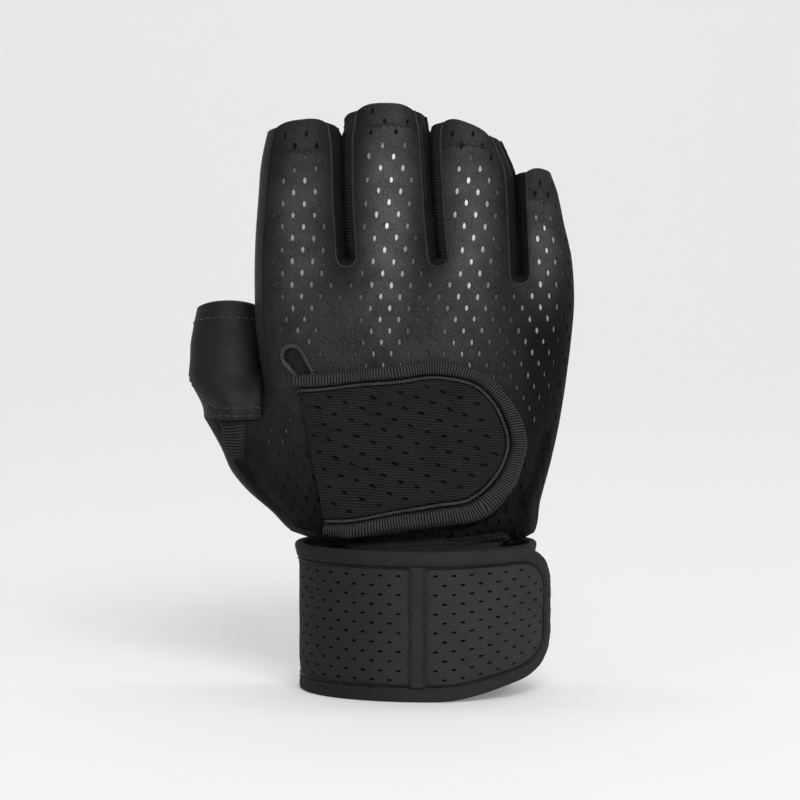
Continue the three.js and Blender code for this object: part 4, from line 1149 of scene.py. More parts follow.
def backHoles(outline):  # the staggered lattice of the back, closer together towards the wrist
    pitch, half = back["columnPitch"], back["fingerHalf"]
    centres, turns = [], []
    for j, z in enumerate(np.arange(52.0, 186.0, back["rowSpacing"])):
        gather = np.interp(z, [50, 70, 100, 125], [0.6, 0.68, 0.86, 1.0])
        columns = (np.arange(-12, 15) + (0.5 if j % 2 else 0.0)) * pitch + 0.6
        lift = max(0.0, z - 118.0)
        slope = np.interp(columns, [-45, -30, -16, 20, 30, 42], [0.02, 0.03, 0.09, 0.09, 0.0, -0.09])
        x = columns * gather + slope * lift
        for centre in back["fingers"]:
            near = np.abs(x - centre) < half
            bow = half * np.sin(np.clip((x - centre) / half, -1, 1)) / math.sin(1)
            x = np.where(near, x + (bow - (x - centre)) * smooth(128, 146, z) * 0.6, x)
        centres.append(np.column_stack([x, np.full_like(x, z) + 0.15 * np.sin(x * 1.3 + z)]))
        turns.append(np.where(z > 118, -slope, -np.interp(z, [60, 118], [1.0, 0.15]) * x * 0.0045))
    centres, turns = np.concatenate(centres), np.concatenate(turns)
    keep = insideOf(outline, *centres.T) & (distanceTo(loopOf(outline), *centres.T) > 2.1)
    keep &= ~insideOf(strapPath + inward(strapPath) * 2.5, *centres.T)
    keep &= distanceTo(loopOf(eyeletLoop(0)), *centres.T) > 3.0
    keep &= ~insideOf(eyeletLoop(0), *centres.T)
    centres, turns = centres[keep], turns[keep]
    _, normals = backAt(*centres.T)
    front = centres[:, 0] < 38
    narrow = np.where(front, np.clip(np.abs(normals[:, 1]), 0.4, 1.0), 0.9)
    narrow *= np.where((centres[:, 1] < 112) & (centres[:, 0] < -38), 0.62, 1.0)
    narrow *= np.interp(centres[:, 1], [60, 105, 130], [back["slit"], 0.8, 1.0])
    return holeOutlines(centres, narrow, turns, back["hole"])


outline = evenly(handOutline(-1, panelInset), 1.1)
holes = backHoles(outline)
flat, faces = cutSheet(outline, holes + [evenly(eyeletLoop(0.05), 0.7)], back["spacing"])
# The knit carries its painted highlight and shade as a mark.
panel(
    "backMesh", backAt(*flat.T), faces, (0.0, -back["thickness"], 0.22), flat, "mesh", "mesh_fabric",
    "back_panel", {"stretch": stretchAt(*flat.T)},
)
print("back cut with", len(holes), "perforations")

# The light backing seen through the holes is lightest over the middle of each finger: partly its own colour,
# partly painted highlight.
liningLook = {
    "drop": 0.48, "thickness": 0.22, "inset": 4.2, "lower": 9.6,
    "width": (5.6, 5.4, 5.6, 5.6), "most": (0.46, 1.0, 0.95, 0.85),
}
outline = evenly(handOutline(-1, liningLook["inset"], liningLook["lower"]), 1.8)
flat, faces = cutSheet(outline, [evenly(eyeletLoop(1.6), 1.0)], 2.2)
x, z = flat.T
drop = liningLook["drop"] + 1.6 * (1 - smooth(74, 82, z)) + 0.8 * (1 - smooth(-58, -53, x)) * (z < 95)
# painted highlight: lightest down the middle of each finger and fading towards the wrist, with a patch near
# the thumb
paleAndHighlight = overFingers(x, z, liningLook["width"], liningLook["most"])
fade = np.interp(z, [64, 88, 106, 122, 150, 200], [0.0, 0.2, 0.28, 0.5, 1.0, 1.0])
for centre, hem in zip(back["fingers"], back["hems"]):  # dark again before the hems
    paleAndHighlight *= 1 - 0.96 * smooth(hem - 8.5, hem - 4.5, z) * (np.abs(x - centre) < 13)
nearThumb = np.interp(x, [-62, -54, -46, -40], [0.1, 0.6, 0.5, 0.0])
paleAndHighlight = np.clip(paleAndHighlight * fade + nearThumb * (1 - smooth(106, 112, z)) * smooth(66, 76, z), 0.02, 1)
panel(
    "backBacking", backAt(*flat.T), faces, (-drop, -drop - liningLook["thickness"]), flat, "lining",
    "mesh_fabric", "back_panel", {"paleAndHighlight": paleAndHighlight},
)

# The turned-in hems at the finger ends.
verts, walls, uvs = [], [], []
for side, base, sign in ((-1, backBase, 1.0), (1, palmBase, -1.0)):
    whole = handOutline(side, panelInset + 0.15)
    for finger in range(4):
        low = fingerEnds[finger].mean() - back["hemDepth"]
        top = whole[whole[:, 1] > low - 0.01]
        limit = slots[finger]["out"][2] if finger < 3 else 200.0
        start = slots[finger - 1]["out"][2] if finger else -200.0
        top = top[(top[:, 0] > start) & (top[:, 0] < limit)]
        strip = evenly(top, 1.0)
        flat, faces = cutSheet(strip, [], 1.6)
        points, normals = surfaceAt(base, *flat.T, sign)
        inner = -back["thickness"] - 0.08 if side < 0 else -1.5
        faces = faces if side < 0 else faces[:, ::-1]
        part, sides, source = wall(points, normals, faces, inner, inner - 0.55, 0.15)
        walls += [[v + len(verts) for v in f] for f in sides]
        verts += part.tolist()
        uvs += flat[source].tolist()
piece("fingerHems", meshOf("fingerHems", verts, walls, uvs), finishes["gusset"], "mesh_fabric", "back_panel")

palm = {"thickness": 1.3, "spacing": 2.0}
outline = evenly(handOutline(1, panelInset), 1.2)
flat, faces = cutSheet(outline, [], palm["spacing"])
x, z = flat.T
web = (1 - smooth(-48, -40, x)) * (1 - smooth(88, 98, z))  # the leather turns to the front there
reach = 3.5 + 5.5 * web
# painted shade: the palm darkens towards its outline, over a wider band at the web
mark = smooth(0.28, 1.0, distanceTo(loopOf(outline), x, z) / reach)
mark = 1 - (1 - mark) * (0.4 + 0.6 * web)
panel(
    "palmLeather", surfaceAt(palmBase, x, z, -1.0), faces[:, ::-1], (0.0, -palm["thickness"], 0.35), flat,
    "palmLeather", "leather", "palm_panel", {"stretch": mark},
)
print("palm made")


def insetAt(share, x, z, inset):  # how far in from the outline a share of a side strip's half lies
    radius = roundness(x, z)
    angle = np.arccos(1 - np.minimum(1, inset / radius))
    return radius * (1 - np.cos(angle * share))


def sidePoints(stations, ways, inset, shares):  # rows across a side strip, from the back to the palm
    count = len(shares)
    x, z = np.repeat(stations, count, axis=0).T
    inX, inZ = np.repeat(ways, count, axis=0).T
    share = np.tile(shares, len(stations))
    distance = insetAt(np.abs(share), x, z, inset)
    return skin(x + inX * distance, z + inZ * distance, np.where(share < 0, -1.0, 1.0))


def slotStations(slot):  # places round a slot as in slotU, and the way into the hand at each
    bottom, centre = slotBottoms[slot], slots[slot]["out"][0]
    down = np.arange(fingerEnds[slot][1], bottom, -0.3)
    up = np.arange(bottom, fingerEnds[slot + 1][0], 0.3)
    angle = np.linspace(-math.pi / 2, math.pi / 2, 19)[1:-1]
    fan = np.column_stack([np.sin(angle), -np.cos(angle)])
    closed = [0.16 + 0.13 * (1 - smooth(bottom + 2, bottom + 16, z)) for z in (down, up)]
    path = [
        np.column_stack([slotX(slot, -1, down) + closed[0], down]), (centre, bottom) + fan * 0.01,
        np.column_stack([slotX(slot, 1, up) - closed[1], up]),
    ]
    ways = [np.tile((-1.0, 0.0), (len(down), 1)), fan, np.tile((1.0, 0.0), (len(up), 1))]
    return np.concatenate(path), np.concatenate(ways)


gusset = {"thickness": 1.1, "ribs": {"pitch": 0.95, "height": 0.42, "sharpness": 0.9}, "count": 15}
gussetNames = [
    ("gussetIndexMiddle", "fourchette_index_middle"), ("gussetMiddleRing", "fourchette_middle_ring"),
    ("gussetRingLittle", "fourchette_ring_little"),
]
for slot, (name, node) in enumerate(gussetNames):
    path, ways = slotStations(slot)
    run = runAlong(path + ways * 1.5)
    shares = np.linspace(-1, 1, gusset["count"])
    points = sidePoints(path, ways, hand["seamInset"] - hand["seamGap"] / 2 + 0.16, shares)
    faces = gridFaces(len(path), gusset["count"], flip=True)
    normals = facing(points, faces)
    verts, walls, source = wall(points, normals, faces, 0.0, -gusset["thickness"], 0.3)
    uv = np.column_stack([np.repeat(run, gusset["count"]), np.tile(shares * 7, len(path))])[source]
    onRight = smooth(0.5, 0.56, uv[:, 0] / run[-1])
    amount = onRight * smooth(6.6, 5.6, np.abs(uv[:, 1])) if slot < 2 else onRight * 0
    amount = amount * (np.arange(len(source)) < len(points))
    mesh = ribbed(name, verts, walls, uv, normals[source], amount, gusset["ribs"], finishes["gusset"])
    piece(name, mesh, finishes["gusset"], "elastic", node)

# The strip along the index finger turns in under the thumb's web at its lower end.
z = np.linspace(fingerEnds[0][0], crotch[1], 150)
path = np.column_stack([indexX(z), z])
ways = np.tile((1.0, 0.0), (len(path), 1))
path = np.concatenate([path, [crotch] * 5])
angle = np.linspace(0, math.pi / 2, 6)[1:]
ways = np.concatenate([ways, np.column_stack([np.cos(angle), -np.sin(angle)])])
shares = np.linspace(-1, 1, 17)
points = sidePoints(path, ways, hand["seamInset"] - hand["seamGap"] / 2 - 0.02, shares)
faces = gridFaces(len(path), len(shares))
uv = np.column_stack([np.repeat(path[:, 1], len(shares)), np.tile(shares * 7, len(path))])
panel(
    "indexSide", (points, facing(points, faces)), faces, (0.0, -1.2, 0.3), uv, "leather", "leather",
    "index_side_strip",
)
print("side strips made")

# The thumb stall: a tube from the hand's cut to an oval mouth.
thumb = {
    "corner": 40, "mouthSlope": 0.3, "thickness": 1.4,
    "up": np.array([0.0, 0.09, 0.16, 0.27, 0.52, 0.76, 1.0]),
    "left": np.array([-0.697, -0.722, -0.736, -0.745, -0.744, -0.738, -0.722]) * glove["width"],
    "right": np.array([-0.526, -0.502, -0.492, -0.490, -0.503, -0.512, -0.516]) * glove["width"],
    "back": np.array([0.062, 0.080, 0.092, 0.114, 0.143, 0.160, 0.174]) * glove["width"],
    "depth": np.array([0.118, 0.114, 0.112, 0.110, 0.108, 0.106, 0.104]) * glove["width"],
    "dents": [  # how high up, which way round, how tall and how deep
        (0.1, -2.2, 0.05, -0.7), (0.17, -1.4, 0.06, -0.8), (0.42, -0.6, 0.05, -0.4), (0.6, -2.0, 0.1, -0.3),
    ],
    "dentWidth": 0.5,
}
rootZ = hand["thumbCut"] + hand["seamGap"]


def thumbRing(arcCount, webCount):  # the tube's root round the hand's cut, and each point's turn
    rootRight, rootLeft = crotch[0] + 1.7, float(thumbX(rootZ))
    share = np.linspace(0, 1, arcCount)
    x = rootLeft + (rootRight - rootLeft) * share**1.5
    level = np.full_like(x, rootZ)
    backY, palmY = skinY(x, level, np.full_like(x, -1.0)), skinY(x, level, np.full_like(x, 1.0))
    backY[0] = palmY[0] = middleY(x[:1], level[:1])[0]
    web = np.linspace(0, 1, webCount + 2)[1:-1]
    corner = thumb["corner"]
    rootX = np.concatenate([x, np.full(webCount, rootRight), x[:0:-1]])
    rootY = np.concatenate([backY, backY[-1] + (palmY[-1] - backY[-1]) * web, palmY[:0:-1]])
    degrees = np.concatenate([
        -180 + (180 - corner) * share, -corner + 2 * corner * web, 180 - (180 - corner) * share[:0:-1],
    ])
    return rootX, rootY, np.radians(degrees)


def thumbRows(heights, ring):  # from the root up to the mouth
    rootX, rootY, angle = ring
    height = np.asarray(heights, float)[:, None]
    at = {k: along({"up": thumb["up"], k: thumb[k]}, k, height) for k in ("left", "right", "back", "depth")}
    blend = smooth(0, 0.42, height)
    half = (at["right"] - at["left"]) / 2
    x = (at["left"] + half + half * np.cos(angle)) * blend + rootX * (1 - blend)
    y = (at["back"] + at["depth"] * np.sin(angle)) * blend + rootY * (1 - blend)
    top = rootZ + hand["thumbHeight"] - (y - at["back"]) * thumb["mouthSlope"]
    return np.stack([x, y, rootZ + (top - rootZ) * height], axis=-1)


ring = thumbRing(34, 9)
heights = np.linspace(0, 1, 60)
grid = thumbRows(heights, ring)
count = grid.shape[1]
points = grid.reshape(-1, 3)
faces = gridFaces(len(heights), count, around=True)
normals = facing(points, faces)
tall, turn = np.repeat(heights, count), np.tile(ring[2], len(heights))
for dentUp, dentTurn, dentTall, rise in thumb["dents"]:
    away = ((tall - dentUp) / dentTall) ** 2 + ((turn - dentTurn) / thumb["dentWidth"]) ** 2
    points = points + normals * (rise * np.exp(-away))[:, None]
ease = np.sin(tall * 21 + turn * 2.0) * 0.07 * np.clip(tall * 3, 0, 1) * np.clip((1 - tall) * 5, 0, 1)
points = points + normals * ease[:, None]
normals = facing(points, faces)
uv = np.column_stack([np.tile(np.unwrap(ring[2]) * 11, len(heights)), points[:, 2]])
panel(
    "thumbLeather", (points, normals), faces, (0.0, -thumb["thickness"], 0.45), uv, "leather", "leather",
    "thumb_stall",
)


def thumbPath(high, turns, lift=0.12):  # a path over the thumb, by height and turn
    order = np.argsort(ring[2])
    column = np.interp(turns, ring[2][order], order.astype(float))
    row = np.asarray(high, float) * (len(heights) - 1)
    i = np.clip(np.floor(row).astype(int), 0, len(heights) - 2)
    j = np.clip(np.floor(column).astype(int), 0, count - 2)
    a, b = (row - i)[:, None], (column - j)[:, None]
    places, ways = [
        (v[i, j] * (1 - b) + v[i, j + 1] * b) * (1 - a) + (v[i + 1, j] * (1 - b) + v[i + 1, j + 1] * b) * a
        for v in (points.reshape(len(heights), count, 3), normals.reshape(len(heights), count, 3))
    ]
    return places + ways * lift, ways


plainStitch = {"spacing": 2.5, "size": (2.0, 0.42, 0.36), "unevenness": 0.06}
zigzag = {"spacing": 1.15, "size": (1.75, 0.36, 0.32), "alternate": 0.78, "unevenness": 0.16}
t = np.linspace(0, 1, 60)
paths = [
    thumbPath(np.full(60, 0.865), -3.05 + 2.3 * t),
    thumbPath(np.full(60, 0.865), 3.05 - 2.3 * t),
    thumbPath(0.035 + 0.30 * np.clip(1 - t * 3.2, 0, 1) ** 1.6, -3.0 + 2.25 * t),
    thumbPath(0.10 + 0.28 * np.clip(1 - t * 3.2, 0, 1) ** 1.6, -2.9 + 2.15 * t),
]
threads("thumbStitches", paths, plainStitch, finishes["welt"], "leather")
print("thumb made")


def backPath(corners, lift, spacing=0.6):  # a path over the back of the hand
    path, _ = resample(np.asarray(corners, float), spacing)
    return backAt(path[:, 0], path[:, 1], lift)


def palmPath(corners, lift, spacing=0.6):
    path, _ = resample(np.asarray(corners, float), spacing)
    places, ways = surfaceAt(palmBase, path[:, 0], path[:, 1], -1.0)
    return places + ways * lift, ways


def cords(name, paths, width, height, lift, finish, slotName, *nodes):  # round cords along paths
    verts, faces, uvs = [], [], []
    for places, ways in paths:
        part, sides, uv = sweep(places, ways, ovalSection(width, height, lift))
        faces += [[v + len(verts) for v in f] for f in sides]
        verts += part.tolist()
        uvs += uv.tolist()
    return piece(name, meshOf(name, verts, faces, uvs), finish, slotName, *nodes)


# Welts along the seams between the panels and the side strips.
weltInset = hand["seamInset"]
paths = [backPath(slotU(slot, weltInset), 0.05, 0.9) for slot in range(3)]
paths += [palmPath(slotU(slot, weltInset), 0.0, 0.9) for slot in range(3)]
cords("weltCords", paths, 0.75, 0.7, 0.1, finishes["thread"], "elastic")
z = np.linspace(fingerEnds[0][0] - 0.3, crotch[1], 90)
indexSeam = np.column_stack([indexX(z) + weltInset, z])
z = np.linspace(hand["thumbCut"], 49.5, 60)
thumbSeam = np.column_stack([thumbX(z) + weltInset * slant(thumbX, z), z])
paths = [backPath(indexSeam, 0.0, 0.9), palmPath(indexSeam, 0.0, 0.9), backPath(thumbSeam, 0.0, 0.9)]
z = np.linspace(fingerEnds[3][1] - 0.3, 49.5, 160)
paths.append(palmPath(np.column_stack([littleX(z) - weltInset * slant(littleX, z), z]), 0.0, 0.9))
cords("seamCords", paths, 0.6, 0.5, 0.05, finishes["seamCord"], "leather")

hemRows = [
    [(-50.6, 170.6), (-44.8, 171.8), (-39.9, 171.4), (-34.2, 171.6), (-30.2, 170.4)],
    [(-23.0, 178.4), (-20.2, 178.9), (-12.1, 179.2), (-4.2, 178.8), (-1.8, 178.4)],
    [(4.8, 173.0), (8.0, 173.3), (13.7, 173.2), (19.5, 172.6), (24.0, 171.2)],
    [(31.0, 157.3), (36.9, 157.2), (44.0, 156.9), (50.0, 156.6)],
]
paths = []
for finger, row in enumerate(hemRows):
    row, _ = resample(np.array(row), 0.6)
    start = indexX(row[:, 1]) if finger == 0 else slotX(finger - 1, 1, row[:, 1])
    end = littleX(row[:, 1]) if finger == 3 else slotX(finger, -1, row[:, 1])
    start = start + panelInset + (3.2 if finger == 0 else 0.7)
    row = row[(row[:, 0] > start) & (row[:, 0] < end - panelInset - 0.7)]
    paths += [backPath(row, 0.14), palmPath(row, 0.14)]
threads("hemStitches", paths, {**zigzag, "size": (1.8, 0.46, 0.42)}, finishes["darkThread"], "mesh_fabric")
fingerSeams = [
    [(-2.2, 180.0), (-1.2, 168.0), (-0.6, 157.0)], [(-1.4, 180.0), (-0.4, 168.0), (0.2, 157.0)],
]
twisted = {"spacing": 0.85, "size": (1.25, 0.42, 0.4), "turn": 0.5, "unevenness": 0.1}
paths = [backPath(seam, 0.1) for seam in fingerSeams]
threads("fingerSeamStitches", paths, twisted, finishes["thread"], "mesh_fabric")
print("welts and stitches laid")

# The closing strap: perforated knit, a twisted cord and a ribbed elastic edge.
strap = {
    "edgeWidth": 4.1, "edgeThickness": 2.3, "cord": 1.3,
    "hole": {"width": 2.3, "length": 1.15, "corners": 10, "unevenness": 0.08, "seed": 21},
    "ribs": {"pitch": 0.86, "height": 0.62, "sharpness": 1.0},
    "along": (5.05, -1.78), "across": (3.35, 3.45),
}


def ribbedBand(name, path, width, high, liftAt, node, start=0.0):  # along the strap's outline, to its inside
    path, run = resample(path, 0.2)
    ways = inward(path)
    top = np.linspace(0, 1, 9)
    dome = np.clip(1 - np.abs(top * 2 - 1) ** 3.0, 0, 1) ** 0.5
    across = np.concatenate([top, [1.0, 0.66, 0.33, 0.0]]) * width + start
    up = np.concatenate([high * (0.35 + 0.65 * dome), [0.1, 0.0, 0.0, 0.1]])
    count = len(across)
    flat = (path[:, None] + ways[:, None] * across[None, :, None]).reshape(-1, 2)
    ground, normals = backAt(*flat.T)
    points = ground + normals * (liftAt(*flat.T) + np.tile(up, len(path)))[:, None]
    amount = np.tile(np.concatenate([dome * 0.6 + 0.4, [0] * 4]), len(path))
    across = np.concatenate([top * width, [width] * 4])
    uv = np.column_stack([np.repeat(run, count), np.tile(across, len(path))])
    faces = tubeFaces(len(path), count, flip=True)
    mesh = ribbed(name, points, faces, uv, normals, amount, strap["ribs"], finishes["elastic"])
    return piece(name, mesh, finishes["elastic"], "elastic", node)


def liftBase(x, z):
    return np.full(len(x), hand["layerGap"])


basePath = strapPath[int(len(strapPath) * 0.30) :] + (1.3, -1.5)
ribbedBand("strapBaseEdge", basePath, 4.6, 1.7, liftBase, "strap_base", 0.4)
inner = basePath + inward(basePath) * 4.9
flat, faces = cutSheet(evenly(inner[::8], 2.0), [], 3.0)
panel("strapBase", backAt(*flat.T), faces, (1.6, 0.5, 0.1), flat, "strapKnit", "elastic", "strap_base")

ribbedBand("strapEdge", strapPath, strap["edgeWidth"], strap["edgeThickness"], strapLift, "strap_edge")

middle = strapPath + inward(strapPath) * (strap["edgeWidth"] + 0.35 + strap["cord"] / 2)
cordPath, _ = resample(middle[3:-3], 0.7)
ground, normals = backAt(*cordPath.T)
ground = ground + normals * (strapLift(*cordPath.T) + 1.15)[:, None]
cords("strapCord", [(ground, normals)], 0.7, 0.7, 0.0, finishes["thread"], "elastic", "strap_piping")
strands = {"spacing": 0.82, "size": (1.5, 0.56, 1.0), "turn": 0.85, "lift": 0.3, "unevenness": 0.05}
threads("strapCordStrands", [(ground, normals)], strands, finishes["welt"], "elastic", "strap_piping")

inner = strapPath + inward(strapPath) * (strap["edgeWidth"] + strap["cord"] + 0.55)
(x0, z0), (x1, z1) = strapOutline[-1], strapOutline[0]
keep = inner[:, 0] > x0 + (x1 - x0) * (inner[:, 1] - z0) / (z1 - z0) + 0.05
outline = evenly(inner[keep][::3], 1.0)
(alongX, alongZ), (acrossX, acrossZ) = strap["along"], strap["across"]
cells = np.array([
    (-60 + i * alongX + j * acrossX, 92 + i * alongZ + j * acrossZ)
    for i in range(-30, 50) for j in range(-30, 30)
])
cells = cells[insideOf(outline, *cells.T)]
cells = cells[distanceTo(loopOf(outline), *cells.T) > 1.5]
holes = holeOutlines(cells, np.ones(len(cells)), np.full(len(cells), -0.34), strap["hole"])
flat, faces = cutSheet(outline, holes, 1.7)
swell = np.clip(distanceTo(loopOf(outline), *flat.T) / 6, 0, 1) ** 0.5 * 0.5
top = strapLift(*flat.T) + 1.2 + swell
panel(
    "strapKnit", backAt(*flat.T), faces, (top, top - 0.8, 0.18), flat, "strapKnit", "mesh_fabric",
    "strap_panel",
)
flat, faces = cutSheet(evenly(inner[keep][::6], 2.0), [], 2.6)
top = strapLift(*flat.T) + 0.75
panel(
    "strapFoam", backAt(*flat.T), faces, (top, top - 0.6, 0.1), flat, "gusset", "mesh_fabric",
    "strap_panel",
)

(x0, z0), (x1, z1) = strapOutline[0], strapOutline[-1]
seam = [(x0 + 0.9, z0 - 0.8), (x1 + 0.9, z1 + 0.8)]
path, _ = resample(np.array(seam), 0.6)
ground, normals = backAt(*path.T)
ground = ground + normals * (strapLift(*path.T) + 2.3)[:, None]
shortStitch = {"spacing": 1.9, "size": (1.5, 0.45, 0.4)}
threads("strapSeamStitches", [(ground, normals)], shortStitch, finishes["seamCord"], "elastic")
print("strap made")

# Eyelet edged with thread, and the dark fabric under it.
flat, faces = cutSheet(evenly(eyeletLoop(0.9), 0.8), [], 1.0)
panel(
    "eyeletBacking", backAt(*flat.T), faces, (-0.95, -1.3, 0.1), flat, "mesh", "mesh_fabric", "eyelet_ring",
    {"stretch": np.full(len(flat), 0.22)},
)
loop = loopOf(evenly(eyeletLoop(0.6), 0.45))
ground, normals = backAt(*loop.T, 0.2)
cords("eyeletCord", [(ground, normals)], 1.0, 0.5, 0.0, finishes["gusset"], "elastic", "eyelet_ring")
overlock = {"spacing": 0.8, "size": (0.58, 1.5, 1.1), "turn": 0.18, "lift": 0.12, "unevenness": 0.08}
threads("eyeletThread", [(ground, normals)], overlock, finishes["edging"], "elastic", "eyelet_ring")


def ribbedPatch(name, corners, low, high, ribs, node, turned=False, fade=1.6):  # of gusset cloth
    (x0, z0), (x1, z1), (x2, z2), (x3, z3) = corners  # lower left, lower right, upper right, upper left
    length = math.hypot(x3 - x0, z3 - z0) if turned else math.hypot(x1 - x0, z1 - z0)
    fine = int(length / 0.22)
    columns, rows = (14, fine) if turned else (fine, 14)
    u, v = np.meshgrid(np.linspace(0, 1, columns), np.linspace(0, 1, rows))
    u, v = u.ravel(), v.ravel()
    x = (x0 * (1 - u) + x1 * u) * (1 - v) + (x3 * (1 - u) + x2 * u) * v
    z = (z0 * (1 - u) + z1 * u) * (1 - v) + (z3 * (1 - u) + z2 * u) * v
    ground, normals = backAt(x, z)
    faces = gridFaces(rows, columns)
    other = 10.0  # about how long the ribs are
    wide, tall = (other, length) if turned else (length, other)
    edge = np.minimum(np.minimum(u, 1 - u) * wide, np.minimum(v, 1 - v) * tall)  # from the nearest edge
    rise = low + (high - low) * (0.3 + 0.7 * smooth(0.0, 1.3, edge))
    verts, walls, source = wall(ground, normals, faces, rise, low, 0.25)
    run = (v if turned else u) * length
    amount = (np.arange(len(source)) < len(x)) * smooth(0.1, fade, edge)[source]
    uv = np.column_stack([run, (u if turned else v) * other])[source]
    mesh = ribbed(name, verts, walls, uv, normals[source], amount, ribs, finishes["gusset"])
    return piece(name, mesh, finishes["gusset"], "elastic", node)


ribbedPatch(
    "thumbInsert", [(-63.6, 74.6), (-57.4, 74.6), (-57.0, 86.2), (-65.4, 86.2)], 0.1, 0.8,
    {"pitch": 0.95, "height": 0.45}, "thumb_knit_insert", True,
)
ribbedPatch(
    "wristElastic", [(-24.2, 40.6), (22.1, 40.6), (22.1, 52.2), (-24.2, 48.6)], 0.3, 1.4,
    {"pitch": 0.95, "height": 0.4}, "wrist_elastic", fade=4.5,
)
paths = [backPath([(-24.0, 47.6), (22.0, 51.2)], 1.5), backPath([(-24.0, 46.0), (22.0, 49.6)], 1.5)]
wristStitch = {"spacing": 1.6, "size": (1.3, 0.4, 0.35), "alternate": 0.3}
threads("wristElasticStitches", paths, wristStitch, finishes["thread"], "elastic")
print("eyelet and elastics made")

# The wrist wrap.
wrapLook = {
    "hole": {"width": 1.7, "length": 0.95, "corners": 10, "unevenness": 0.05, "seed": 31},
    "pitch": 5.7, "rows": 3.0, "spacing": 2.2, "faceWall": 1.0,
    "binding": 5.0, "stitchAt": 4.0,
    "seamTurn": 79, "lapTurn": 352,  # degrees round, where the seam tape and the start of the lap are
    # painted light along the wrap: its tone scale at each turn, in degrees
    "stretch": ([0, 40, 80, 105, 130, 150, 170, 420], [1, 1, 0.9, 0.44, 0.24, 0.26, 0.42, 0.75]),
}


def wrapPaintedLight(s):  # painted light and shade along the wrap: lightest for the first 80 degrees from its free end, darkest about 130 to 150 degrees round
    return np.interp(np.interp(s, wrapRun, turns), *wrapLook["stretch"])


low = wrap["edgeWidth"] - 0.4
high = wrap["height"] - low
radius = wrap["endRadius"] - low
angle = np.linspace(0, math.pi / 2, 12)
start = np.column_stack([low + radius - radius * np.cos(angle), high - radius + radius * np.sin(angle)])
finishRun = wrapLength - 0.4
mirrored = np.column_stack([start[::-1, 0], wrap["height"] - start[::-1, 1]])
outline = evenly(np.concatenate([start, [(finishRun, high), (finishRun, low)], mirrored]), 1.6)
seamRun, lapRun = (float(np.interp(wrapLook[key], turns, wrapRun)) for key in ("seamTurn", "lapTurn"))
cells = np.array([
    (s + (wrapLook["pitch"] / 2 if j % 2 else 0), z)
    for j, z in enumerate(np.arange(low + 2.0, high - 1.0, wrapLook["rows"]))
    for s in np.arange(7.0, lapRun, wrapLook["pitch"])
])
cells = cells[insideOf(outline, *cells.T)]
cells = cells[distanceTo(loopOf(outline), *cells.T) > 1.8]
cells = cells[np.abs(cells[:, 0] - seamRun) > 3.6]
holes = holeOutlines(cells, np.ones(len(cells)), np.zeros(len(cells)), wrapLook["hole"])
flat, faces = cutSheet(outline, holes, wrapLook["spacing"])
pucker = np.clip(distanceTo(loopOf(outline), *flat.T) / 5, 0, 1) ** 0.6 * 0.45
dip = -0.5 * np.exp(-(((flat[:, 0] - seamRun) / 2.8) ** 2))
soft = 0.12 * np.sin(flat[:, 0] * 0.35 + np.sin(flat[:, 1] * 0.2)) * np.sin(flat[:, 1] * 0.22 + 1)
lift = -0.45 + pucker + dip + soft
panel(
    "wrapFace", wrapAt(*flat.T), faces[:, ::-1], (lift, lift - wrapLook["faceWall"], 0.16), flat, "wrap",
    "wrap_fabric", "wrap_panel", {"stretch": wrapPaintedLight(flat[:, 0])},
)
flat, faces = cutSheet(evenly(outline[::2], 3.0), [], 3.4)
panel(
    "wrapFoam", wrapAt(*flat.T), faces[:, ::-1], (-1.25, -2.45, 0.2), flat, "gusset", "wrap_fabric",
    "wrap_panel",
)
print("wrap made with", len(holes), "perforations")


def wrapBorder(inset):  # a path all round the wrap's three bound edges, inset from them
    centre, height = wrap["endRadius"], wrap["height"]
    radius = centre - inset
    angle = np.linspace(math.pi / 2, -math.pi / 2, 41)
    level = np.where(angle >= 0, height - centre, centre) + radius * np.sin(angle)
    end = np.column_stack([centre - radius * np.cos(angle), level])
    path, run = resample(np.concatenate([[(wrapLength, height - inset)], end, [(wrapLength, inset)]]), 0.8)
    return path, run, -inward(path)


path, run, ways = wrapBorder(0.0)
width, thick = wrapLook["binding"], wrap["edgeThickness"]
angle = np.linspace(0, 2 * math.pi, 18, endpoint=False)
across = width / 2 - width / 2 * np.sign(np.cos(angle)) * np.abs(np.cos(angle)) ** 0.55
up = -thick / 2 + thick / 2 * np.sign(np.sin(angle)) * np.abs(np.sin(angle)) ** 0.6
groove = -0.28 * np.exp(-(((across - wrapLook["stitchAt"]) / 0.5) ** 2)) * (up > -thick / 2)
count = len(across)
puff = 1 + 0.05 * np.sin(run * 0.9) + 0.04 * np.sin(run * 2.3 + 1)
flat = (path[:, None] + ways[:, None] * across[None, :, None]).reshape(-1, 2)
raised = (up + thick / 2)[None, :] * puff[:, None] - thick / 2 + groove
lift = np.where(up > -thick / 2, raised, up[None, :]).ravel()
points, _ = wrapAt(flat[:, 0], flat[:, 1], lift)
faces = tubeFaces(len(path), count)
uv = np.column_stack([np.repeat(run, count), np.tile(across, len(path))])
# The binding takes the wrap's painted light and shade.
mesh = meshOf("wrapBinding", points, faces, uv, {"stretch": wrapPaintedLight(flat[:, 0])})
piece("wrapBinding", mesh, finishes["wrapEdge"], "wrap_fabric", "wrap_edge")


def borderPath(inset, lift):
    path, _, _ = wrapBorder(inset)
    return wrapAt(path[:, 0], path[:, 1], lift)


path = borderPath(wrapLook["stitchAt"], -0.12)
longStitch = {"spacing": 2.6, "size": (2.1, 0.4, 0.34)}
threads("bindingStitches", [path], longStitch, finishes["thread"], "wrap_fabric")
path = borderPath(wrapLook["binding"] + 0.25, -0.42)
cords("bindingWelt", [path], 0.8, 0.8, 0.0, finishes["seamCord"], "wrap_fabric")

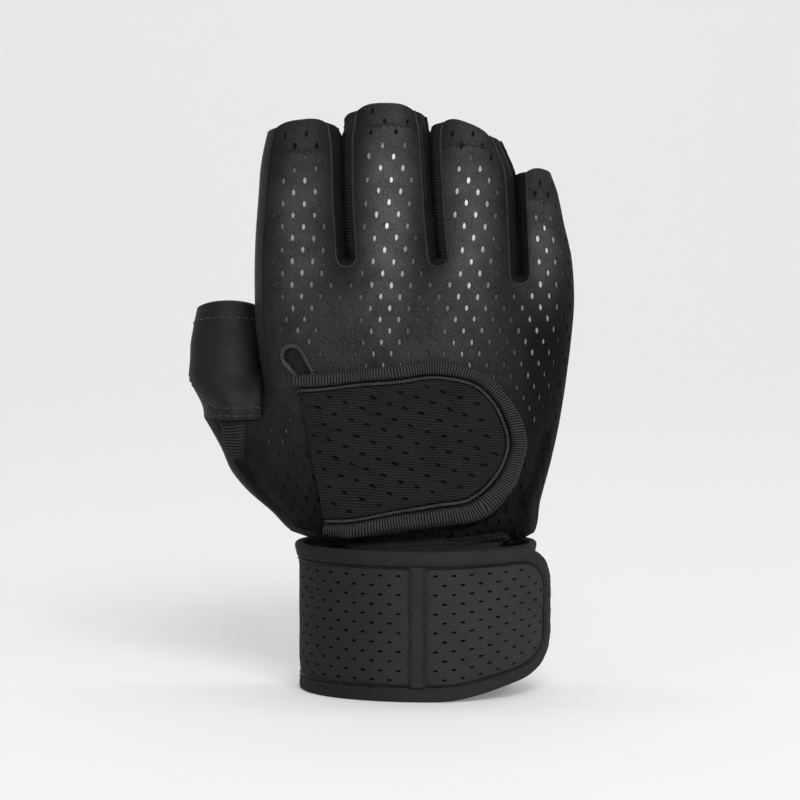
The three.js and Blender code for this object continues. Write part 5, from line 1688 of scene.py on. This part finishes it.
# The seam tape with its two zigzag rows.
s, z = np.meshgrid(seamRun + np.linspace(-2.3, 2.3, 12), np.linspace(low, high, 40), indexing="ij")
flat = np.column_stack([s.ravel(), z.ravel()])
# The tape takes the wrap's painted light and shade, a little darker.
panel(
    "wrapSeamTape", wrapAt(*flat.T), gridFaces(12, 40), (0.35, -0.3, 0.2), flat, "wrap", "wrap_fabric",
    "wrap_seam_tape", {"stretch": wrapPaintedLight(flat[:, 0]) * 0.8},
)
z = np.linspace(low + 0.5, high - 0.5, 60)
paths = [wrapAt(np.full(60, seamRun + shiftS), z, 0.42) for shiftS in (-2.1, 2.1)]
tapeStitch = {**zigzag, "spacing": 1.3, "size": (2.1, 0.78, 0.6)}
threads("seamTapeStitches", paths, tapeStitch, finishes["darkThread"], "wrap_fabric")
print("wrap bound and stitched")

# Camera, floor and light.
view = {"distance": 0.970, "height": 0.170, "aimX": -0.0080, "aimZ": 0.0931, "lens": 136.4}
camera = bpy.data.objects.new("camera", bpy.data.cameras.new("camera"))
bpy.context.scene.collection.objects.link(camera)
camera.data.lens = view["lens"]
camera.data.sensor_width = 36.0
camera.data.dof.use_dof = False
camera.data.clip_start, camera.data.clip_end = 0.05, 60.0
camera.location = (shift[0], shift[1] - view["distance"], view["height"])
aim = Vector((shift[0] + view["aimX"], shift[1], view["aimZ"])) - camera.location
camera.rotation_euler = aim.to_track_quat("-Z", "Y").to_euler()
bpy.context.scene.camera = camera

# A sheet of paper that lies flat, then curves up behind the glove.
paperLook = {
    "front": -4.0, "bend": 1.2, "radius": 1.4, "height": 6.0, "side": 5.0, "glow": 0.19,
    "dark": (0.77, 0.77, 0.775), "light": (0.82, 0.82, 0.82), "depth": 0.0001,
}
bend, radius = paperLook["bend"], paperLook["radius"]
profile = [(paperLook["front"], 0.0), (bend, 0.0)]
for angle in np.linspace(0.05, math.pi / 2, 30):
    profile.append((bend + radius * math.sin(angle), radius - radius * math.cos(angle)))
profile.append((bend + radius, paperLook["height"]))
verts = [(x, y, z) for y, z in profile for x in (-paperLook["side"], paperLook["side"])]
faces = [(2 * i, 2 * i + 1, 2 * i + 3, 2 * i + 2) for i in range(len(profile) - 1)]
mesh = bpy.data.meshes.new("floor")
mesh.from_pydata(verts, [], faces)
mesh.shade_smooth()
floor = bpy.data.objects.new("floor", mesh)
bpy.context.scene.collection.objects.link(floor)
paper = Finish("paleFloor", specular=0.1, glow=paperLook["glow"])
paper.shader.inputs["Emission Color"].default_value = (1.0, 1.0, 1.0, 1)
tone = paper.noise(300.0, 2.0) * 0.02
mesh.materials.append(paper.made(paperLook, tone, 0.8, tone))

world = bpy.data.worlds.new("studio")
bpy.context.scene.world = world
world.use_nodes = True
world.node_tree.nodes["Background"].inputs["Color"].default_value = (0.98, 0.99, 1.0, 1)
world.node_tree.nodes["Background"].inputs["Strength"].default_value = 0.30


def softLight(name, place, target, width, height, power):  # an oblong lamp turned to its target
    data = bpy.data.lights.new(name, "AREA")
    data.shape, data.size, data.size_y, data.energy = "RECTANGLE", width, height, power
    lamp = bpy.data.objects.new(name, data)
    bpy.context.scene.collection.objects.link(lamp)
    lamp.location = place
    lamp.rotation_euler = (Vector(target) - Vector(place)).to_track_quat("-Z", "Y").to_euler()


gloveMiddle = (0.0, 0.0, 0.1)
softLight("frontTop", (0.3, -1.3, 1.2), gloveMiddle, 0.85, 0.65, 17.0)
softLight("backdrop", (0.0, 0.6, 2.6), (0.0, 2.4, 0.9), 2.4, 0.8, 25.0)
softLight("leftFill", (-1.3, -0.9, 0.9), gloveMiddle, 0.6, 0.8, 1.0)
softLight("rightFill", (1.2, -1.0, 0.7), gloveMiddle, 0.6, 0.8, 2.5)
bpy.context.scene.view_settings.view_transform = "Standard"
print("stage set")
